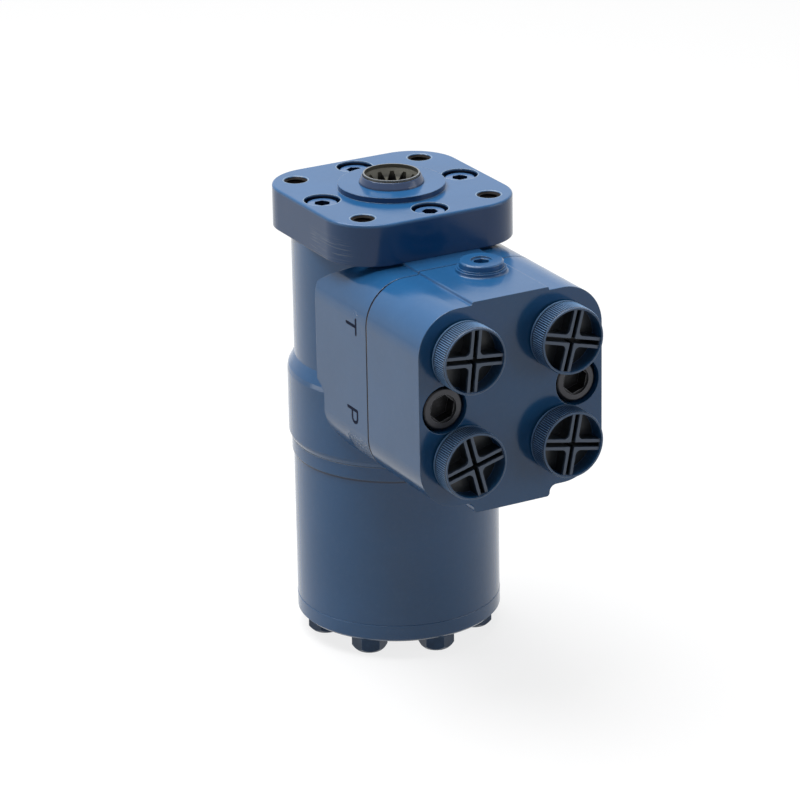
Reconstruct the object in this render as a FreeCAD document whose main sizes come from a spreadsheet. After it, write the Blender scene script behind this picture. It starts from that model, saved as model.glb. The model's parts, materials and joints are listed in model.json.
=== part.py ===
import FreeCAD, Part
import math
import os
import re

import Sketcher
from FreeCAD import Placement, Rotation, Vector

# Orbital steering unit
# A rotary valve (spool inside a sleeve) turns in a housing. A port block with
# four hose ports is bolted on its front, and a gear set with an orbiting rotor
# hangs below it. Lengths are millimetres. The shaft axis is Z, the flange's
# mounting face is z = 0, the ports look towards -Y, and the tank and pressure
# ports are on the -X side. Levels are given as depths below the mounting face.

SIZES = {
    # mounting flange and its screws
    "flange_width": 83.6,
    "flange_corner": 20.5,
    "flange_height": 17.5,
    "flange_edge": 0.9,
    "pilot_diameter": 44.3,
    "pilot_height": 2.4,
    "mount_spacing": 58.34,
    "mount_hole": 8.5,
    "mount_mouth": 10.3,
    "flange_screw_circle": 32.2,
    "flange_screw_bore": 15.0,
    "flange_screw_sink": 9.3,
    "flange_screw_reach": 14.0,
    # eight millimetre screw and its holes
    "screw": 8.0,
    "screw_head": 13.0,
    "screw_edge": 0.8,
    "screw_key": 6.0,
    "screw_key_depth": 4.5,
    "screw_play": 0.6,
    "thread_play": 0.1,
    # rotating valve
    "journal": 23.4,
    "journal_top": 6.4,
    "journal_end": 16.4,
    "lead_in_bore": 22.2,
    "lead_in_depth": 1.6,
    "spline_mouth_depth": 6.2,
    "spline_minor": 17.0,
    "spline_major": 20.8,
    "spline_pitch": 19.05,
    "spline_space": 2.5,
    "spline_end": 12.5,
    "web_top": 14.5,
    "web_end": 18.5,
    "spool": 28.0,
    "spool_bore": 20.0,
    "sleeve": 38.0,
    "running_gap": 0.05,
    "seal_gap": 0.1,
    "seat_gap": 0.02,
    "valve_play": 0.3,
    "valve_end": "=housing_end - valve_play",
    "pin_depth": 52.0,
    "pin": 8.0,
    "pin_travel": 2.1,
    "slot_top": 20.5,
    "slot_end": 28.7,
    "slot_width": 6.4,
    "leaf": 0.7,
    "leaf_height": 8.0,
    "leaf_half_length": 17.6,
    # thrust bearing
    "race_top": 11.0,
    "race": 1.2,
    "race_bore": 30.0,
    "race_outside": 44.0,
    "needle": 2.4,
    "needle_edge": 1.1,
    "needle_length": "=(race_outside - race_bore) / 2 - 2 * needle_edge",
    "needle_circle": "=(race_outside + race_bore) / 4",
    "cage_height": 1.6,
    # seals at the shaft
    "dust_seal": 26.8,
    "dust_seal_seat": 4.0,
    "dust_seal_top": 5.6,
    "dust_seal_tip": 24.4,
    "shaft_seal": 34.0,
    "shaft_seal_top": 5.6,
    # housing
    "neck": 83.6,
    "neck_end": 70.0,
    "collar": 89.6,
    "collar_start": 75.0,
    "collar_end": 104.0,
    "foot": "=set_outside",
    "housing_end": 106.8,
    "ring_groove": 4.0,
    "ring_groove_deep": 3.0,
    "pad_back": 10.2,
    "seam": 54.1,
    "seam_gap": 0.6,
    "seam_inset": 0.5,
    "gallery": 7.0,
    "gallery_stop": 12.0,
    "gallery_offset": 3.5,
    "feed_hole": 6.0,
    "feed_circle": 21.5,
    "feed_depth": 10.5,
    # port block
    "block_front": 96.8,
    "block_half": 41.8,
    "block_top": 18.8,
    "block_end": 102.0,
    "block_corner": 18.0,
    "strip_half": 17.4,
    "strip_top": 17.5,
    "strip_rise": 0.2,
    "strip_end": "=housing_end - strip_rise",
    "strip_corner": 1.5,
    "strip_root": 1.25,
    "port_half_spacing": 22.25,
    "port_level_top": 38.0,
    "port_level_low": 82.1,
    "port_bore": 19.0,
    "port_depth": 16.0,
    "port_channel": 12.0,
    "block_screw_half": 30.4,
    "block_screw_level": 59.9,
    "block_screw": 12.0,
    "block_screw_head": 18.0,
    "block_screw_edge": 1.2,
    "block_screw_key": 10.0,
    "block_screw_mouth": 12.0,
    "block_screw_mouth_depth": 0.8,
    "block_screw_bore": 20.0,
    "block_screw_sink": 13.2,
    "block_screw_reach": 15.5,
    # relief valve in the block
    "relief_x": 4.5,
    "relief_y": 65.7,
    "boss": 20.6,
    "boss_height": 1.56,
    "boss_root": 0.7,
    "plug_head": 18.0,
    "plug_height": 2.4,
    "plug_edge": 0.5,
    "plug_washer": 0.6,
    "plug_washer_lip": 0.6,
    "plug_thread": 16.0,
    "plug_key": 6.0,
    "plug_mouth": 8.5,
    "plug_mouth_depth": 0.75,
    "plug_end": 28.0,
    "plug_guide_length": 4.0,
    "relief_bore": 12.0,
    "relief_bore_end": 66.0,
    "relief_seat_top": 58.0,
    "relief_hole": 6.0,
    "relief_hole_end": 85.0,
    "cross_bore": 5.0,
    "cross_shift": 2.4,
    "poppet": 11.8,
    "poppet_guide": 4.8,
    "poppet_guide_length": 6.0,
    "poppet_skirt": 3.0,
    "poppet_land": 1.0,
    "spring_radius": 3.9,
    "spring_wire": 1.8,
    "spring_turns": 5.0,
    "spring_low": 50.0,
    # inlet check valve
    "check_seat_front": 65.6,
    "check_seat_back": 63.1,
    "check_hole": 6.0,
    "check_ball": 8.0,
    # port caps
    "cap": 27.5,
    "cap_reach": 10.6,
    "cap_wall": 0.7,
    "cap_floor": 2.4,
    "cap_lip": 28.2,
    "cap_lip_height": 1.0,
    "cap_seal": 1.0,
    "cap_seal_width": 26.4,
    "cap_stub": 18.84,
    "cap_stub_length": 9.0,
    "cap_stub_bore": 13.0,
    "cap_arm": 4.5,
    "cap_slot": 2.0,
    "cap_slot_wall": 1.0,
    "cap_slot_depth": 6.5,
    "cap_cross_drop": 0.7,
    "cap_fillet": 2.1,
    # gear set and cover
    "plate_end": 112.8,
    "plate_lip": 0.7,
    "plate": "=set_outside + 2 * plate_lip",
    "plate_bore": 23.0,
    "set_end": 178.0,
    "set_outside": 85.8,
    "lobe_edge": 7.4,
    "lobe_circle": "=set_outside / 2 - lobe_edge",
    "lobe": 10.5,
    "throw": 3.65,
    "rotor_gap": 0.08,
    "face_gap": 0.04,
    "feed_slot": 5.0,
    "feed_slot_in": 19.5,
    "feed_slot_out": 30.0,
    "cover_end": 185.3,
    "cover_lip": 0.1,
    "cover": "=set_outside + 2 * cover_lip",
    "cover_edge": 0.2,
    "cover_bevel": 1.0,
    "bolt_edge": 10.6,
    "bolt_circle": "=set_outside / 2 - bolt_edge",
    "bolt_key": 13.0,
    "bolt_head": 6.5,
    "bolt_face": 11.6,
    "bolt_washer": 1.5,
    "bolt_washer_width": 15.0,
    "bolt_reach": 14.0,
    # drive shaft to the rotor
    "drive_fork": 18.4,
    "drive_fork_top": 9.0,
    "drive_fork_end": 12.0,
    "drive_slot": 8.8,
    "drive_shaft": 12.4,
    "drive_tooth": 1.85,
    "drive_root": 7.95,
    "drive_tip": 9.85,
    "drive_crown": 9.35,
    "drive_tail": 21.4,
    "drive_middle": "=drive_end - drive_tail",
    "drive_head": 14.0,
    "drive_nose": 9.0,
    "drive_play": 0.6,
    "drive_end": "=set_end - spacer_height - drive_play",
    "spacer": 15.6,
    "spacer_height": 6.0,
    # face seals
    "flange_cord": 1.8,
    "flange_cord_middle": 25.2,
    "set_cord": 1.3,
    "set_cord_edge": 2.35,
    "set_cord_middle": "=set_outside / 2 - set_cord_edge",
    "block_cord": 1.5,
    "block_cord_middle": 8.6,
    "cord_play": 0.08,
}

SCREWS = 4
BOLTS = 7
TEETH = 12
ROTOR_LOBES = BOLTS - 1
NEEDLES = 20
CAP_TURN = {"tank": -6, "right": -15, "pressure": 15, "left": -11}
CAP_PLACE = {
    "tank": ("-port_half_spacing", "-port_level_top"),
    "right": ("port_half_spacing", "-port_level_top"),
    "pressure": ("-port_half_spacing", "-port_level_low"),
    "left": ("port_half_spacing", "-port_level_low"),
}
GALLERY_LEVEL = {
    "tank": "-port_level_top + gallery_offset",
    "right": "-port_level_top - gallery_offset",
    "pressure": "-port_level_low - gallery_offset",
    "left": "-port_level_low + gallery_offset",
}

doc = FreeCAD.newDocument("steering_unit")
sheet = doc.addObject("Spreadsheet::Sheet", "sizes")
for row, name in enumerate(SIZES, start=1):
    sheet.set(f"A{row}", name)
    sheet.setAlias(f"B{row}", name)
for row, size in enumerate(SIZES.values(), start=1):
    sheet.set(f"B{row}", str(size))
doc.recompute()

NODES = []


# Sizes and placing

def tie(text):
    """Point every size named in the text at its cell in the sheet."""
    return re.sub(r"[a-z][a-z_]+", lambda m: "sizes." + m[0] if m[0] in SIZES else m[0], text)


def value(text):
    """Work out a text of named sizes as a number."""
    return float(sheet.evalExpression(tie(text)))


def new_body(name):
    """Start a named piece and list it for writing."""
    body = doc.addObject("PartDesign::Body", name)
    body.Label = name
    body.AllowCompound = True
    NODES.append(body)
    return body


def origin(body, role):
    return next(item for item in body.Origin.OriginFeatures if item.Role == role)


def sketch(body, plane, height="0", rise="0", turn=0):
    """Lay a sketch on one of the piece's planes, moved along its normal by height."""
    made = body.newObject("Sketcher::SketchObject", body.Name + "_sketch")
    made.AttachmentSupport = [(origin(body, plane), "")]
    made.MapMode = "FlatFace"
    made.AttachmentOffset = Placement(Vector(), Rotation(Vector(0, 0, 1), turn))
    made.setExpression("AttachmentOffset.Base.z", tie(height))
    made.setExpression("AttachmentOffset.Base.y", tie(rise))
    return made


def move(body, x="0", y="0", z="0", rotation=Rotation()):
    """Place a piece that was drawn about its own axis."""
    body.Placement = Placement(Vector(value(x), value(y), value(z)), rotation)
    body.setExpression("Placement.Base.x", tie(x))
    body.setExpression("Placement.Base.y", tie(y))
    body.setExpression("Placement.Base.z", tie(z))


# Drawing in sketches

def bind(made, kind, text, *where):
    """Add one dimension that follows the named sizes."""
    index = made.addConstraint(Sketcher.Constraint(kind, *where, value(text)))
    made.setExpression(f"Constraints[{index}]", tie(text))


def pin(made, geometry, end, x, y):
    """Hold one point of a shape at a place given by named sizes."""
    bind(made, "DistanceX", x, -1, 1, geometry, end)
    bind(made, "DistanceY", y, -1, 1, geometry, end)


def circle(made, x, y, radius):
    centre = Vector(value(x), value(y), 0)
    index = made.addGeometry(Part.Circle(centre, Vector(0, 0, 1), value(radius)))
    pin(made, index, 3, x, y)
    bind(made, "Radius", radius, index)


def polygon(made, points):
    """Draw a closed outline with sharp corners."""
    first = made.GeometryCount
    count = len(points)
    at = [Vector(value(x), value(y), 0) for x, y in points]
    for i in range(count):
        made.addGeometry(Part.LineSegment(at[i], at[(i + 1) % count]))
    for i, (x, y) in enumerate(points):
        before = first + (i - 1) % count
        made.addConstraint(Sketcher.Constraint("Coincident", before, 2, first + i, 1))
        pin(made, first + i, 1, x, y)


def box(made, half_x, low_y, high_y):
    """Draw a rectangle that is centred sideways."""
    left = f"-({half_x})"
    polygon(made, [(left, low_y), (half_x, low_y), (half_x, high_y), (left, high_y)])


def rounded_polygon(made, corners):
    """Draw a closed outline of level and upright lines with rounded corners."""
    first = made.GeometryCount
    count = len(corners)
    at = [Vector(value(x), value(y), 0) for x, y, _ in corners]
    arcs = []
    for i, (x, y, radius) in enumerate(corners):
        r = value(radius)
        into = (at[i - 1] - at[i]).normalize()
        out = (at[(i + 1) % count] - at[i]).normalize()
        centre = at[i] + (into + out) * r
        angles = [math.atan2(-way.y, -way.x) for way in (out, into)]
        forward = (angles[1] - angles[0]) % (2 * math.pi) < math.pi
        low, high = angles if forward else reversed(angles)
        rim = Part.Circle(centre, Vector(0, 0, 1), r)
        arc = made.addGeometry(Part.ArcOfCircle(rim, low, high))
        start, end = at[i] + into * r, at[i] + out * r
        arcs.append((arc, 1 if forward else 2, 2 if forward else 1, start, end))
        sign_x = "+" if (into + out).x > 0 else "-"
        sign_y = "+" if (into + out).y > 0 else "-"
        pin(made, arc, 3, f"{x} {sign_x} {radius}", f"{y} {sign_y} {radius}")
        bind(made, "Radius", radius, arc)
    for i in range(count):
        arc, _, out_end, _, end = arcs[i]
        following, in_end, _, start, _ = arcs[(i + 1) % count]
        line = made.addGeometry(Part.LineSegment(end, start))
        made.addConstraint(Sketcher.Constraint("Tangent", line, 1, arc, out_end))
        made.addConstraint(Sketcher.Constraint("Tangent", line, 2, following, in_end))
    return first


# Making solids

def feature(body, kind, profile, length=None, reverse=False):
    made = body.newObject(kind, body.Name + "_" + kind.split("::")[1].lower())
    made.Profile = profile
    if length is not None:
        made.setExpression("Length", tie(length))
        made.Reversed = reverse
    profile.Visibility = False
    return made


def pad(body, profile, length, reverse=False):
    return feature(body, "PartDesign::Pad", profile, length, reverse)


def pocket(body, profile, length, reverse=False):
    return feature(body, "PartDesign::Pocket", profile, length, reverse)


def turned(body, points, cut=False, plane="XZ_Plane"):
    """Turn an outline of radius and height about the piece's upright axis."""
    profile = sketch(body, plane)
    polygon(profile, points)
    made = feature(body, "PartDesign::Groove" if cut else "PartDesign::Revolution", profile)
    made.ReferenceAxis = (profile, ["V_Axis"])
    made.Angle = 360
    return made


def ring_of(body, originals, count):
    """Repeat features evenly around the piece's upright axis."""
    made = body.newObject("PartDesign::PolarPattern", body.Name + "_pattern")
    made.Originals = originals
    made.Axis = (origin(body, "Z_Axis"), [""])
    made.Angle = 360
    made.Occurrences = count
    body.Tip = made
    return made


def dressed(body, size, chosen, kind="PartDesign::Fillet"):
    """Round or chamfer the edges that the test picks."""
    doc.recompute()
    base = body.Tip
    names = [f"Edge{i}" for i, edge in enumerate(base.Shape.Edges, start=1) if chosen(edge)]
    made = body.newObject(kind, body.Name + "_" + kind.split("::")[1].lower())
    made.Base = (base, names)
    made.setExpression("Radius" if kind.endswith("Fillet") else "Size", tie(size))
    return made


def runs_along(edge, direction):
    """Tell whether an edge is a straight line in this direction."""
    if not isinstance(edge.Curve, Part.Line):
        return False
    return abs(abs(edge.Curve.Direction.dot(direction)) - 1) < 1e-6


def hexagon(made, x, y, key, turn=0):
    """Draw a hexagon across whose flats the key measures, turned by some degrees."""
    corners = []
    for i in range(6):
        angle = math.radians(60 * i + turn)
        dx = f"({key}) / 2 / cos(30) * {math.cos(angle):.6f}"
        dy = f"({key}) / 2 / cos(30) * {math.sin(angle):.6f}"
        corners.append((f"{x} + {dx}", f"{y} + {dy}"))
    polygon(made, corners)


# Mounting flange: the square top plate with the pilot, four tapped mounting
# holes and the seats of both shaft seals and the bearing

flange = new_body("mounting_flange")
outline = sketch(flange, "XY_Plane", "-flange_height")
half = "flange_width / 2"
rounded_polygon(outline, [
    ("-(flange_width / 2)", "-(flange_width / 2)", "flange_corner"),
    (half, "-(flange_width / 2)", "flange_corner"),
    (half, half, "flange_corner"),
    ("-(flange_width / 2)", half, "flange_corner"),
])
pad(flange, outline, "flange_height")
dressed(flange, "flange_edge", lambda edge: edge.BoundBox.ZMin > -1e-6)
pilot = sketch(flange, "XY_Plane")
circle(pilot, "0", "0", "pilot_diameter / 2")
pad(flange, pilot, "pilot_height")
turned(flange, [
    ("0", "pilot_height + 1"),
    ("dust_seal / 2", "pilot_height + 1"),
    ("dust_seal / 2", "-dust_seal_seat"),
    ("journal / 2 + 0.6", "-dust_seal_seat"),
    ("journal / 2 + 0.6", "-shaft_seal_top"),
    ("shaft_seal / 2", "-shaft_seal_top"),
    ("shaft_seal / 2", "-race_top"),
    ("race_outside / 2 + 0.4", "-race_top"),
    ("race_outside / 2 + 0.4", "-flange_height - 1"),
    ("0", "-flange_height - 1"),
], cut=True)
tapped = sketch(flange, "XY_Plane")
for side_x in ("", "-"):
    for side_y in ("", "-"):
        circle(tapped, f"{side_x}mount_spacing / 2", f"{side_y}mount_spacing / 2", "mount_hole / 2")
pocket(flange, tapped, "flange_height")
dressed(
    flange, "(mount_mouth - mount_hole) / 2",
    lambda edge: isinstance(edge.Curve, Part.Circle)
    and abs(edge.Curve.Radius - value("mount_hole / 2")) < 1e-6
    and edge.BoundBox.ZMin > -1e-6,
    "PartDesign::Chamfer")
sink = sketch(flange, "XY_Plane")
circle(sink, "flange_screw_circle", "0", "flange_screw_bore / 2")
sink = pocket(flange, sink, "flange_screw_sink")
through = sketch(flange, "XY_Plane")
circle(through, "flange_screw_circle", "0", "(screw + screw_play) / 2")
through = pocket(flange, through, "flange_height")
ring_of(flange, [sink, through], SCREWS)

# Flange screws: four socket head screws sunk in the flange

screws = new_body("flange_screws")
head = sketch(screws, "XY_Plane", "-flange_screw_sink")
circle(head, "flange_screw_circle", "0", "screw_head / 2")
head = pad(screws, head, "screw")
shank = sketch(screws, "XY_Plane", "-flange_screw_sink")
circle(shank, "flange_screw_circle", "0", "screw / 2")
shank = pad(screws, shank, "flange_height - flange_screw_sink + flange_screw_reach", True)
key = sketch(screws, "XY_Plane", "-flange_screw_sink + screw")
hexagon(key, "flange_screw_circle", "0", "screw_key")
key = pocket(screws, key, "screw_key_depth")
ring_of(screws, [head, shank, key], SCREWS)
dressed(
    screws, "screw_edge",
    lambda edge: isinstance(edge.Curve, Part.Circle)
    and edge.BoundBox.ZMin > value("-flange_screw_sink + screw") - 1e-6)

# Seals of the shaft: the cone-shaped dust seal that shows above the pilot,
# and the pressure seal below it

dust_seal = new_body("dust_seal")
turned(dust_seal, [
    ("journal / 2 + seal_gap", "-dust_seal_seat"),
    ("dust_seal / 2 - seat_gap", "-dust_seal_seat"),
    ("dust_seal / 2 - seat_gap", "pilot_height"),
    ("dust_seal_tip / 2", "dust_seal_top"),
    ("journal / 2 + seal_gap", "dust_seal_top"),
])

shaft_seal = new_body("shaft_seal")
turned(shaft_seal, [
    ("journal / 2 + 1.4", "-shaft_seal_top"),
    ("shaft_seal / 2 - seat_gap", "-shaft_seal_top"),
    ("shaft_seal / 2 - seat_gap", "-race_top"),
    ("shaft_seal / 2 - 1.8", "-race_top"),
    ("shaft_seal / 2 - 1.8", "-shaft_seal_top - 1.6"),
    ("journal / 2 + 2", "-shaft_seal_top - 1.6"),
    ("journal / 2 + 1.2", "-race_top + 0.6"),
    ("journal / 2 + seal_gap", "-race_top + 1.1"),
])

# Thrust bearing under the flange: two races and a cage with needles

race_upper = new_body("bearing_race_upper")
turned(race_upper, [
    ("race_bore / 2", "-race_top"),
    ("race_outside / 2", "-race_top"),
    ("race_outside / 2", "-race_top - race"),
    ("race_bore / 2", "-race_top - race"),
])

race_lower = new_body("bearing_race_lower")
turned(race_lower, [
    ("race_bore / 2", "-race_top - race - needle"),
    ("race_outside / 2", "-race_top - race - needle"),
    ("race_outside / 2", "-race_top - 2 * race - needle"),
    ("race_bore / 2", "-race_top - 2 * race - needle"),
])

cage = new_body("bearing_cage")
cage_middle = "-race_top - race - needle / 2"
turned(cage, [
    ("race_bore / 2 + 0.4", f"{cage_middle} - cage_height / 2"),
    ("race_outside / 2 - 0.4", f"{cage_middle} - cage_height / 2"),
    ("race_outside / 2 - 0.4", f"{cage_middle} + cage_height / 2"),
    ("race_bore / 2 + 0.4", f"{cage_middle} + cage_height / 2"),
])
window = sketch(cage, "XY_Plane", f"{cage_middle} + cage_height / 2 + 0.2")
window_low = "needle_circle - needle_length / 2 - 0.1"
window_high = "needle_circle + needle_length / 2 + 0.1"
box(window, "needle / 2 + 0.08", window_low, window_high)
window = pocket(cage, window, "cage_height + 0.4")
ring_of(cage, [window], NEEDLES)

needles = new_body("bearing_needles")
profile = sketch(needles, "YZ_Plane", "0", cage_middle)
polygon(profile, [
    ("needle_circle - needle_length / 2", "0"),
    ("needle_circle + needle_length / 2", "0"),
    ("needle_circle + needle_length / 2", "needle / 2"),
    ("needle_circle - needle_length / 2", "needle / 2"),
])
roller = feature(needles, "PartDesign::Revolution", profile)
roller.ReferenceAxis = (profile, ["H_Axis"])
roller.Angle = 360
ring_of(needles, [roller], NEEDLES)


# Port block outline, shared by the block and the pad it stands on

def port_outline(body, depth, inset="0"):
    """Draw the block's outline, set in all round: two side lobes, a taller strip between."""
    wide = f"block_half - {inset}"
    slim = f"strip_half - {inset}"
    top = f"-block_top - {inset}"
    rise = f"-strip_top - {inset}"
    end = f"-block_end + {inset}"
    drop = f"-strip_end + {inset}"
    corner = f"(block_corner - {inset})"
    root = f"(strip_root / 2 + {inset})"
    tip = f"(strip_root / 2 - {inset})"
    foot = f"(strip_corner * 2 + {inset})"
    toe = f"(strip_corner - {inset})"
    made = sketch(body, "XZ_Plane", depth)
    rounded_polygon(made, [
        (wide, top, corner),
        (slim, top, root),
        (slim, rise, tip),
        (f"-({slim})", rise, tip),
        (f"-({slim})", top, root),
        (f"-({wide})", top, corner),
        (f"-({wide})", end, corner),
        (f"-({slim})", end, foot),
        (f"-({slim})", drop, toe),
        (slim, drop, toe),
        (slim, end, foot),
        (wide, end, corner),
    ])
    return made


# Housing: neck, collar and port pad in one casting, with the sleeve bore, its
# four ring grooves and the galleries that lead forward to the block

housing = new_body("housing")
turned(housing, [
    ("0", "-flange_height"),
    ("neck / 2", "-flange_height"),
    ("neck / 2", "-neck_end"),
    ("collar / 2 - 0.4", "-collar_start"),
    ("collar / 2", "-collar_start - 2"),
    ("collar / 2", "-collar_end"),
    ("foot / 2", "-housing_end"),
    ("0", "-housing_end"),
])
pad(housing, port_outline(housing, "seam - seam_gap"), "seam - seam_gap - pad_back", True)
pad(housing, port_outline(housing, "seam", "seam_inset"), "seam_gap", True)
bore = [("0", "-flange_height + 1"), ("sleeve / 2 + running_gap", "-flange_height + 1")]
for port in ("tank", "right", "left", "pressure"):
    level = GALLERY_LEVEL[port]
    for reach, side in (("", "+"), (" + ring_groove_deep", "+"), (" + ring_groove_deep", "-"), ("", "-")):
        bore.append((f"sleeve / 2 + running_gap{reach}", f"{level} {side} ring_groove / 2"))
bore.append(("sleeve / 2 + running_gap", "-housing_end - 1"))
bore.append(("0", "-housing_end - 1"))
turned(housing, bore, cut=True)
galleries = sketch(housing, "XZ_Plane", "seam")
for port, (x, _) in CAP_PLACE.items():
    circle(galleries, x, GALLERY_LEVEL[port], "gallery / 2")
pocket(housing, galleries, "seam - gallery_stop")
threads = sketch(housing, "XZ_Plane", "seam")
for side in ("", "-"):
    circle(threads, f"{side}block_screw_half", "-block_screw_level", "(block_screw + thread_play) / 2")
pocket(housing, threads, "block_screw_reach + 2")
turned(housing, [
    ("flange_cord_middle - flange_cord * 0.7", "-flange_height + 1"),
    ("flange_cord_middle + flange_cord * 0.7", "-flange_height + 1"),
    ("flange_cord_middle + flange_cord * 0.7", "-flange_height - flange_cord - cord_play"),
    ("flange_cord_middle - flange_cord * 0.7", "-flange_height - flange_cord - cord_play"),
], cut=True)
thread = sketch(housing, "XY_Plane", "-flange_height")
circle(thread, "flange_screw_circle", "0", "(screw + thread_play) / 2")
thread = pocket(housing, thread, "flange_screw_reach + 2")
ring_of(housing, [thread], SCREWS)
feed = sketch(housing, "XY_Plane", "-housing_end")
circle(feed, "0", "feed_circle", "feed_hole / 2")
feed = pocket(housing, feed, "feed_depth", True)
thread = sketch(housing, "XY_Plane", "-housing_end")
circle(thread, "0", "-bolt_circle", "(screw + thread_play) / 2")
thread = pocket(housing, thread, "bolt_reach + 2", True)
ring_of(housing, [feed, thread], BOLTS)


# Face seals: round cords in the grooves of the faces that meet

def cord(name, middle, size, top):
    """Make one ring of cord that lies just under a face."""
    body = new_body(name)
    profile = sketch(body, "XZ_Plane")
    circle(profile, middle, f"{top} - ({size} + cord_play) / 2", f"{size} / 2")
    made = feature(body, "PartDesign::Revolution", profile)
    made.ReferenceAxis = (profile, ["V_Axis"])
    made.Angle = 360
    return body


cord("flange_seal", "flange_cord_middle", "flange_cord", "-flange_height")
cord("plate_seal_upper", "set_cord_middle", "set_cord", "-housing_end")
cord("plate_seal_lower", "set_cord_middle", "set_cord", "-plate_end + set_cord + cord_play")
cord("cover_seal", "set_cord_middle", "set_cord", "-set_end")

# Valve sleeve: ring grooves outside, rows of holes, the slot for the leaf
# springs and the hole for the cross pin

sleeve = new_body("valve_sleeve")
sleeve_top = "-race_top - 2 * race - needle"
groove_half = "ring_groove / 2 - 0.4"
wall = [("spool / 2 + running_gap", sleeve_top), ("sleeve / 2", sleeve_top)]
for port in ("tank", "right", "left", "pressure"):
    level = GALLERY_LEVEL[port]
    for radius, side in (("", "+"), (" - 1.2", "+"), (" - 1.2", "-"), ("", "-")):
        wall.append((f"sleeve / 2{radius}", f"{level} {side} ({groove_half})"))
wall.append(("sleeve / 2", "-valve_end"))
wall.append(("spool / 2 + running_gap", "-valve_end"))
turned(sleeve, wall)
holes = sketch(sleeve, "YZ_Plane")
for port in GALLERY_LEVEL:
    circle(holes, "0", GALLERY_LEVEL[port], "1.3")
rows = pocket(sleeve, holes, "sleeve", True)
ring_of(sleeve, [rows], 6)
holes = sketch(sleeve, "YZ_Plane")
circle(holes, "0", "-housing_end + feed_depth / 2 + 2", "1.6")
rows = pocket(sleeve, holes, "sleeve", True)
ring_of(sleeve, [rows], TEETH)
hole = sketch(sleeve, "YZ_Plane", "-sleeve")
circle(hole, "0", "-pin_depth", "pin / 2 + seat_gap")
pocket(sleeve, hole, "sleeve * 2", True)
slot = sketch(sleeve, "XZ_Plane", "-sleeve")
box(slot, "slot_width / 2", "-slot_end", "-slot_top")
pocket(sleeve, slot, "sleeve * 2", True)

# Cross pin: joins the sleeve to the drive shaft

cross_pin = new_body("cross_pin")
profile = sketch(cross_pin, "YZ_Plane", "-sleeve / 2 + 0.5")
circle(profile, "0", "-pin_depth", "pin / 2")
pad(cross_pin, profile, "sleeve - 1")

# Leaf springs: two bowed leaves and two flat ones between them

springs = new_body("centering_springs")
slot_middle = "-(slot_top + slot_end) / 2"
profile = sketch(springs, "XY_Plane", f"{slot_middle} - leaf_height / 2")
for side in ("", "-"):
    bow = [("leaf_half_length", "slot_width / 2 - 0.05"), ("leaf_half_length / 2", "leaf * 2.9")]
    bow += [("0", "leaf * 2.4"), ("-leaf_half_length / 2", "leaf * 2.9")]
    bow += [("-leaf_half_length", "slot_width / 2 - 0.05")]
    outer = [(f"{side}({x})", y) for y, x in bow]
    inner = [(f"{side}({x} - leaf)", y) for y, x in reversed(bow)]
    polygon(profile, outer + inner)
    flat = [("leaf * 0.15", "-leaf_half_length"), ("leaf * 1.15", "-leaf_half_length")]
    flat += [("leaf * 1.15", "leaf_half_length"), ("leaf * 0.15", "leaf_half_length")]
    polygon(profile, [(f"{side}({x})", y) for x, y in flat])
pad(springs, profile, "leaf_height")

# Spool: journal with the column spline below a conical mouth, solid web, then
# the valve part with widened holes that let it turn a few degrees in the sleeve

spool = new_body("valve_spool")
turned(spool, [
    ("0", "-web_top"),
    ("spline_minor / 2", "-web_top"),
    ("spline_minor / 2", "journal_top - spline_mouth_depth"),
    ("lead_in_bore / 2", "journal_top - lead_in_depth"),
    ("lead_in_bore / 2", "journal_top"),
    ("journal / 2", "journal_top"),
    ("journal / 2", "-journal_end"),
    ("spool / 2", "-journal_end"),
    ("spool / 2", "-valve_end"),
    ("spool_bore / 2", "-valve_end"),
    ("spool_bore / 2", "-web_end"),
    ("0", "-web_end"),
])
flank = math.tan(math.radians(30))


def space(made, low, high, width, slope):
    """Draw one gap of a spline along +X: its width is given on the pitch circle."""
    def half_at(radius):
        return f"({width}) / 2 + (({radius}) - spline_pitch / 2) * {slope:.6f}"
    polygon(made, [
        (low, f"-({half_at(low)})"),
        (high, f"-({half_at(high)})"),
        (high, half_at(high)),
        (low, half_at(low)),
    ])


gap = sketch(spool, "XY_Plane", "journal_top - lead_in_depth")
space(gap, "spline_minor / 2 - 0.4", "spline_major / 2", "spline_space", -flank)
gap = pocket(spool, gap, "journal_top - lead_in_depth + spline_end")
ring_of(spool, [gap], TEETH)
hole = sketch(spool, "YZ_Plane", "-spool")
hole_half = "pin / 2 + 0.1"
rounded_polygon(hole, [
    (f"-({hole_half} + pin_travel)", f"-pin_depth - ({hole_half})", "pin / 2"),
    (f"{hole_half} + pin_travel", f"-pin_depth - ({hole_half})", "pin / 2"),
    (f"{hole_half} + pin_travel", f"-pin_depth + {hole_half}", "pin / 2"),
    (f"-({hole_half} + pin_travel)", f"-pin_depth + {hole_half}", "pin / 2"),
])
pocket(spool, hole, "spool * 2", True)
slot = sketch(spool, "XZ_Plane", "-spool")
box(slot, "slot_width / 2", "-slot_end", "-slot_top")
pocket(spool, slot, "spool * 2", True)
slots = sketch(spool, "YZ_Plane", "spool / 2 - 1.5")
box(slots, "1.6", "-port_level_low - 3", "-port_level_top - 22")
slots = pocket(spool, slots, "spool", True)
ring_of(spool, [slots], 6)

# Distributor plate between housing and gear set

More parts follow.
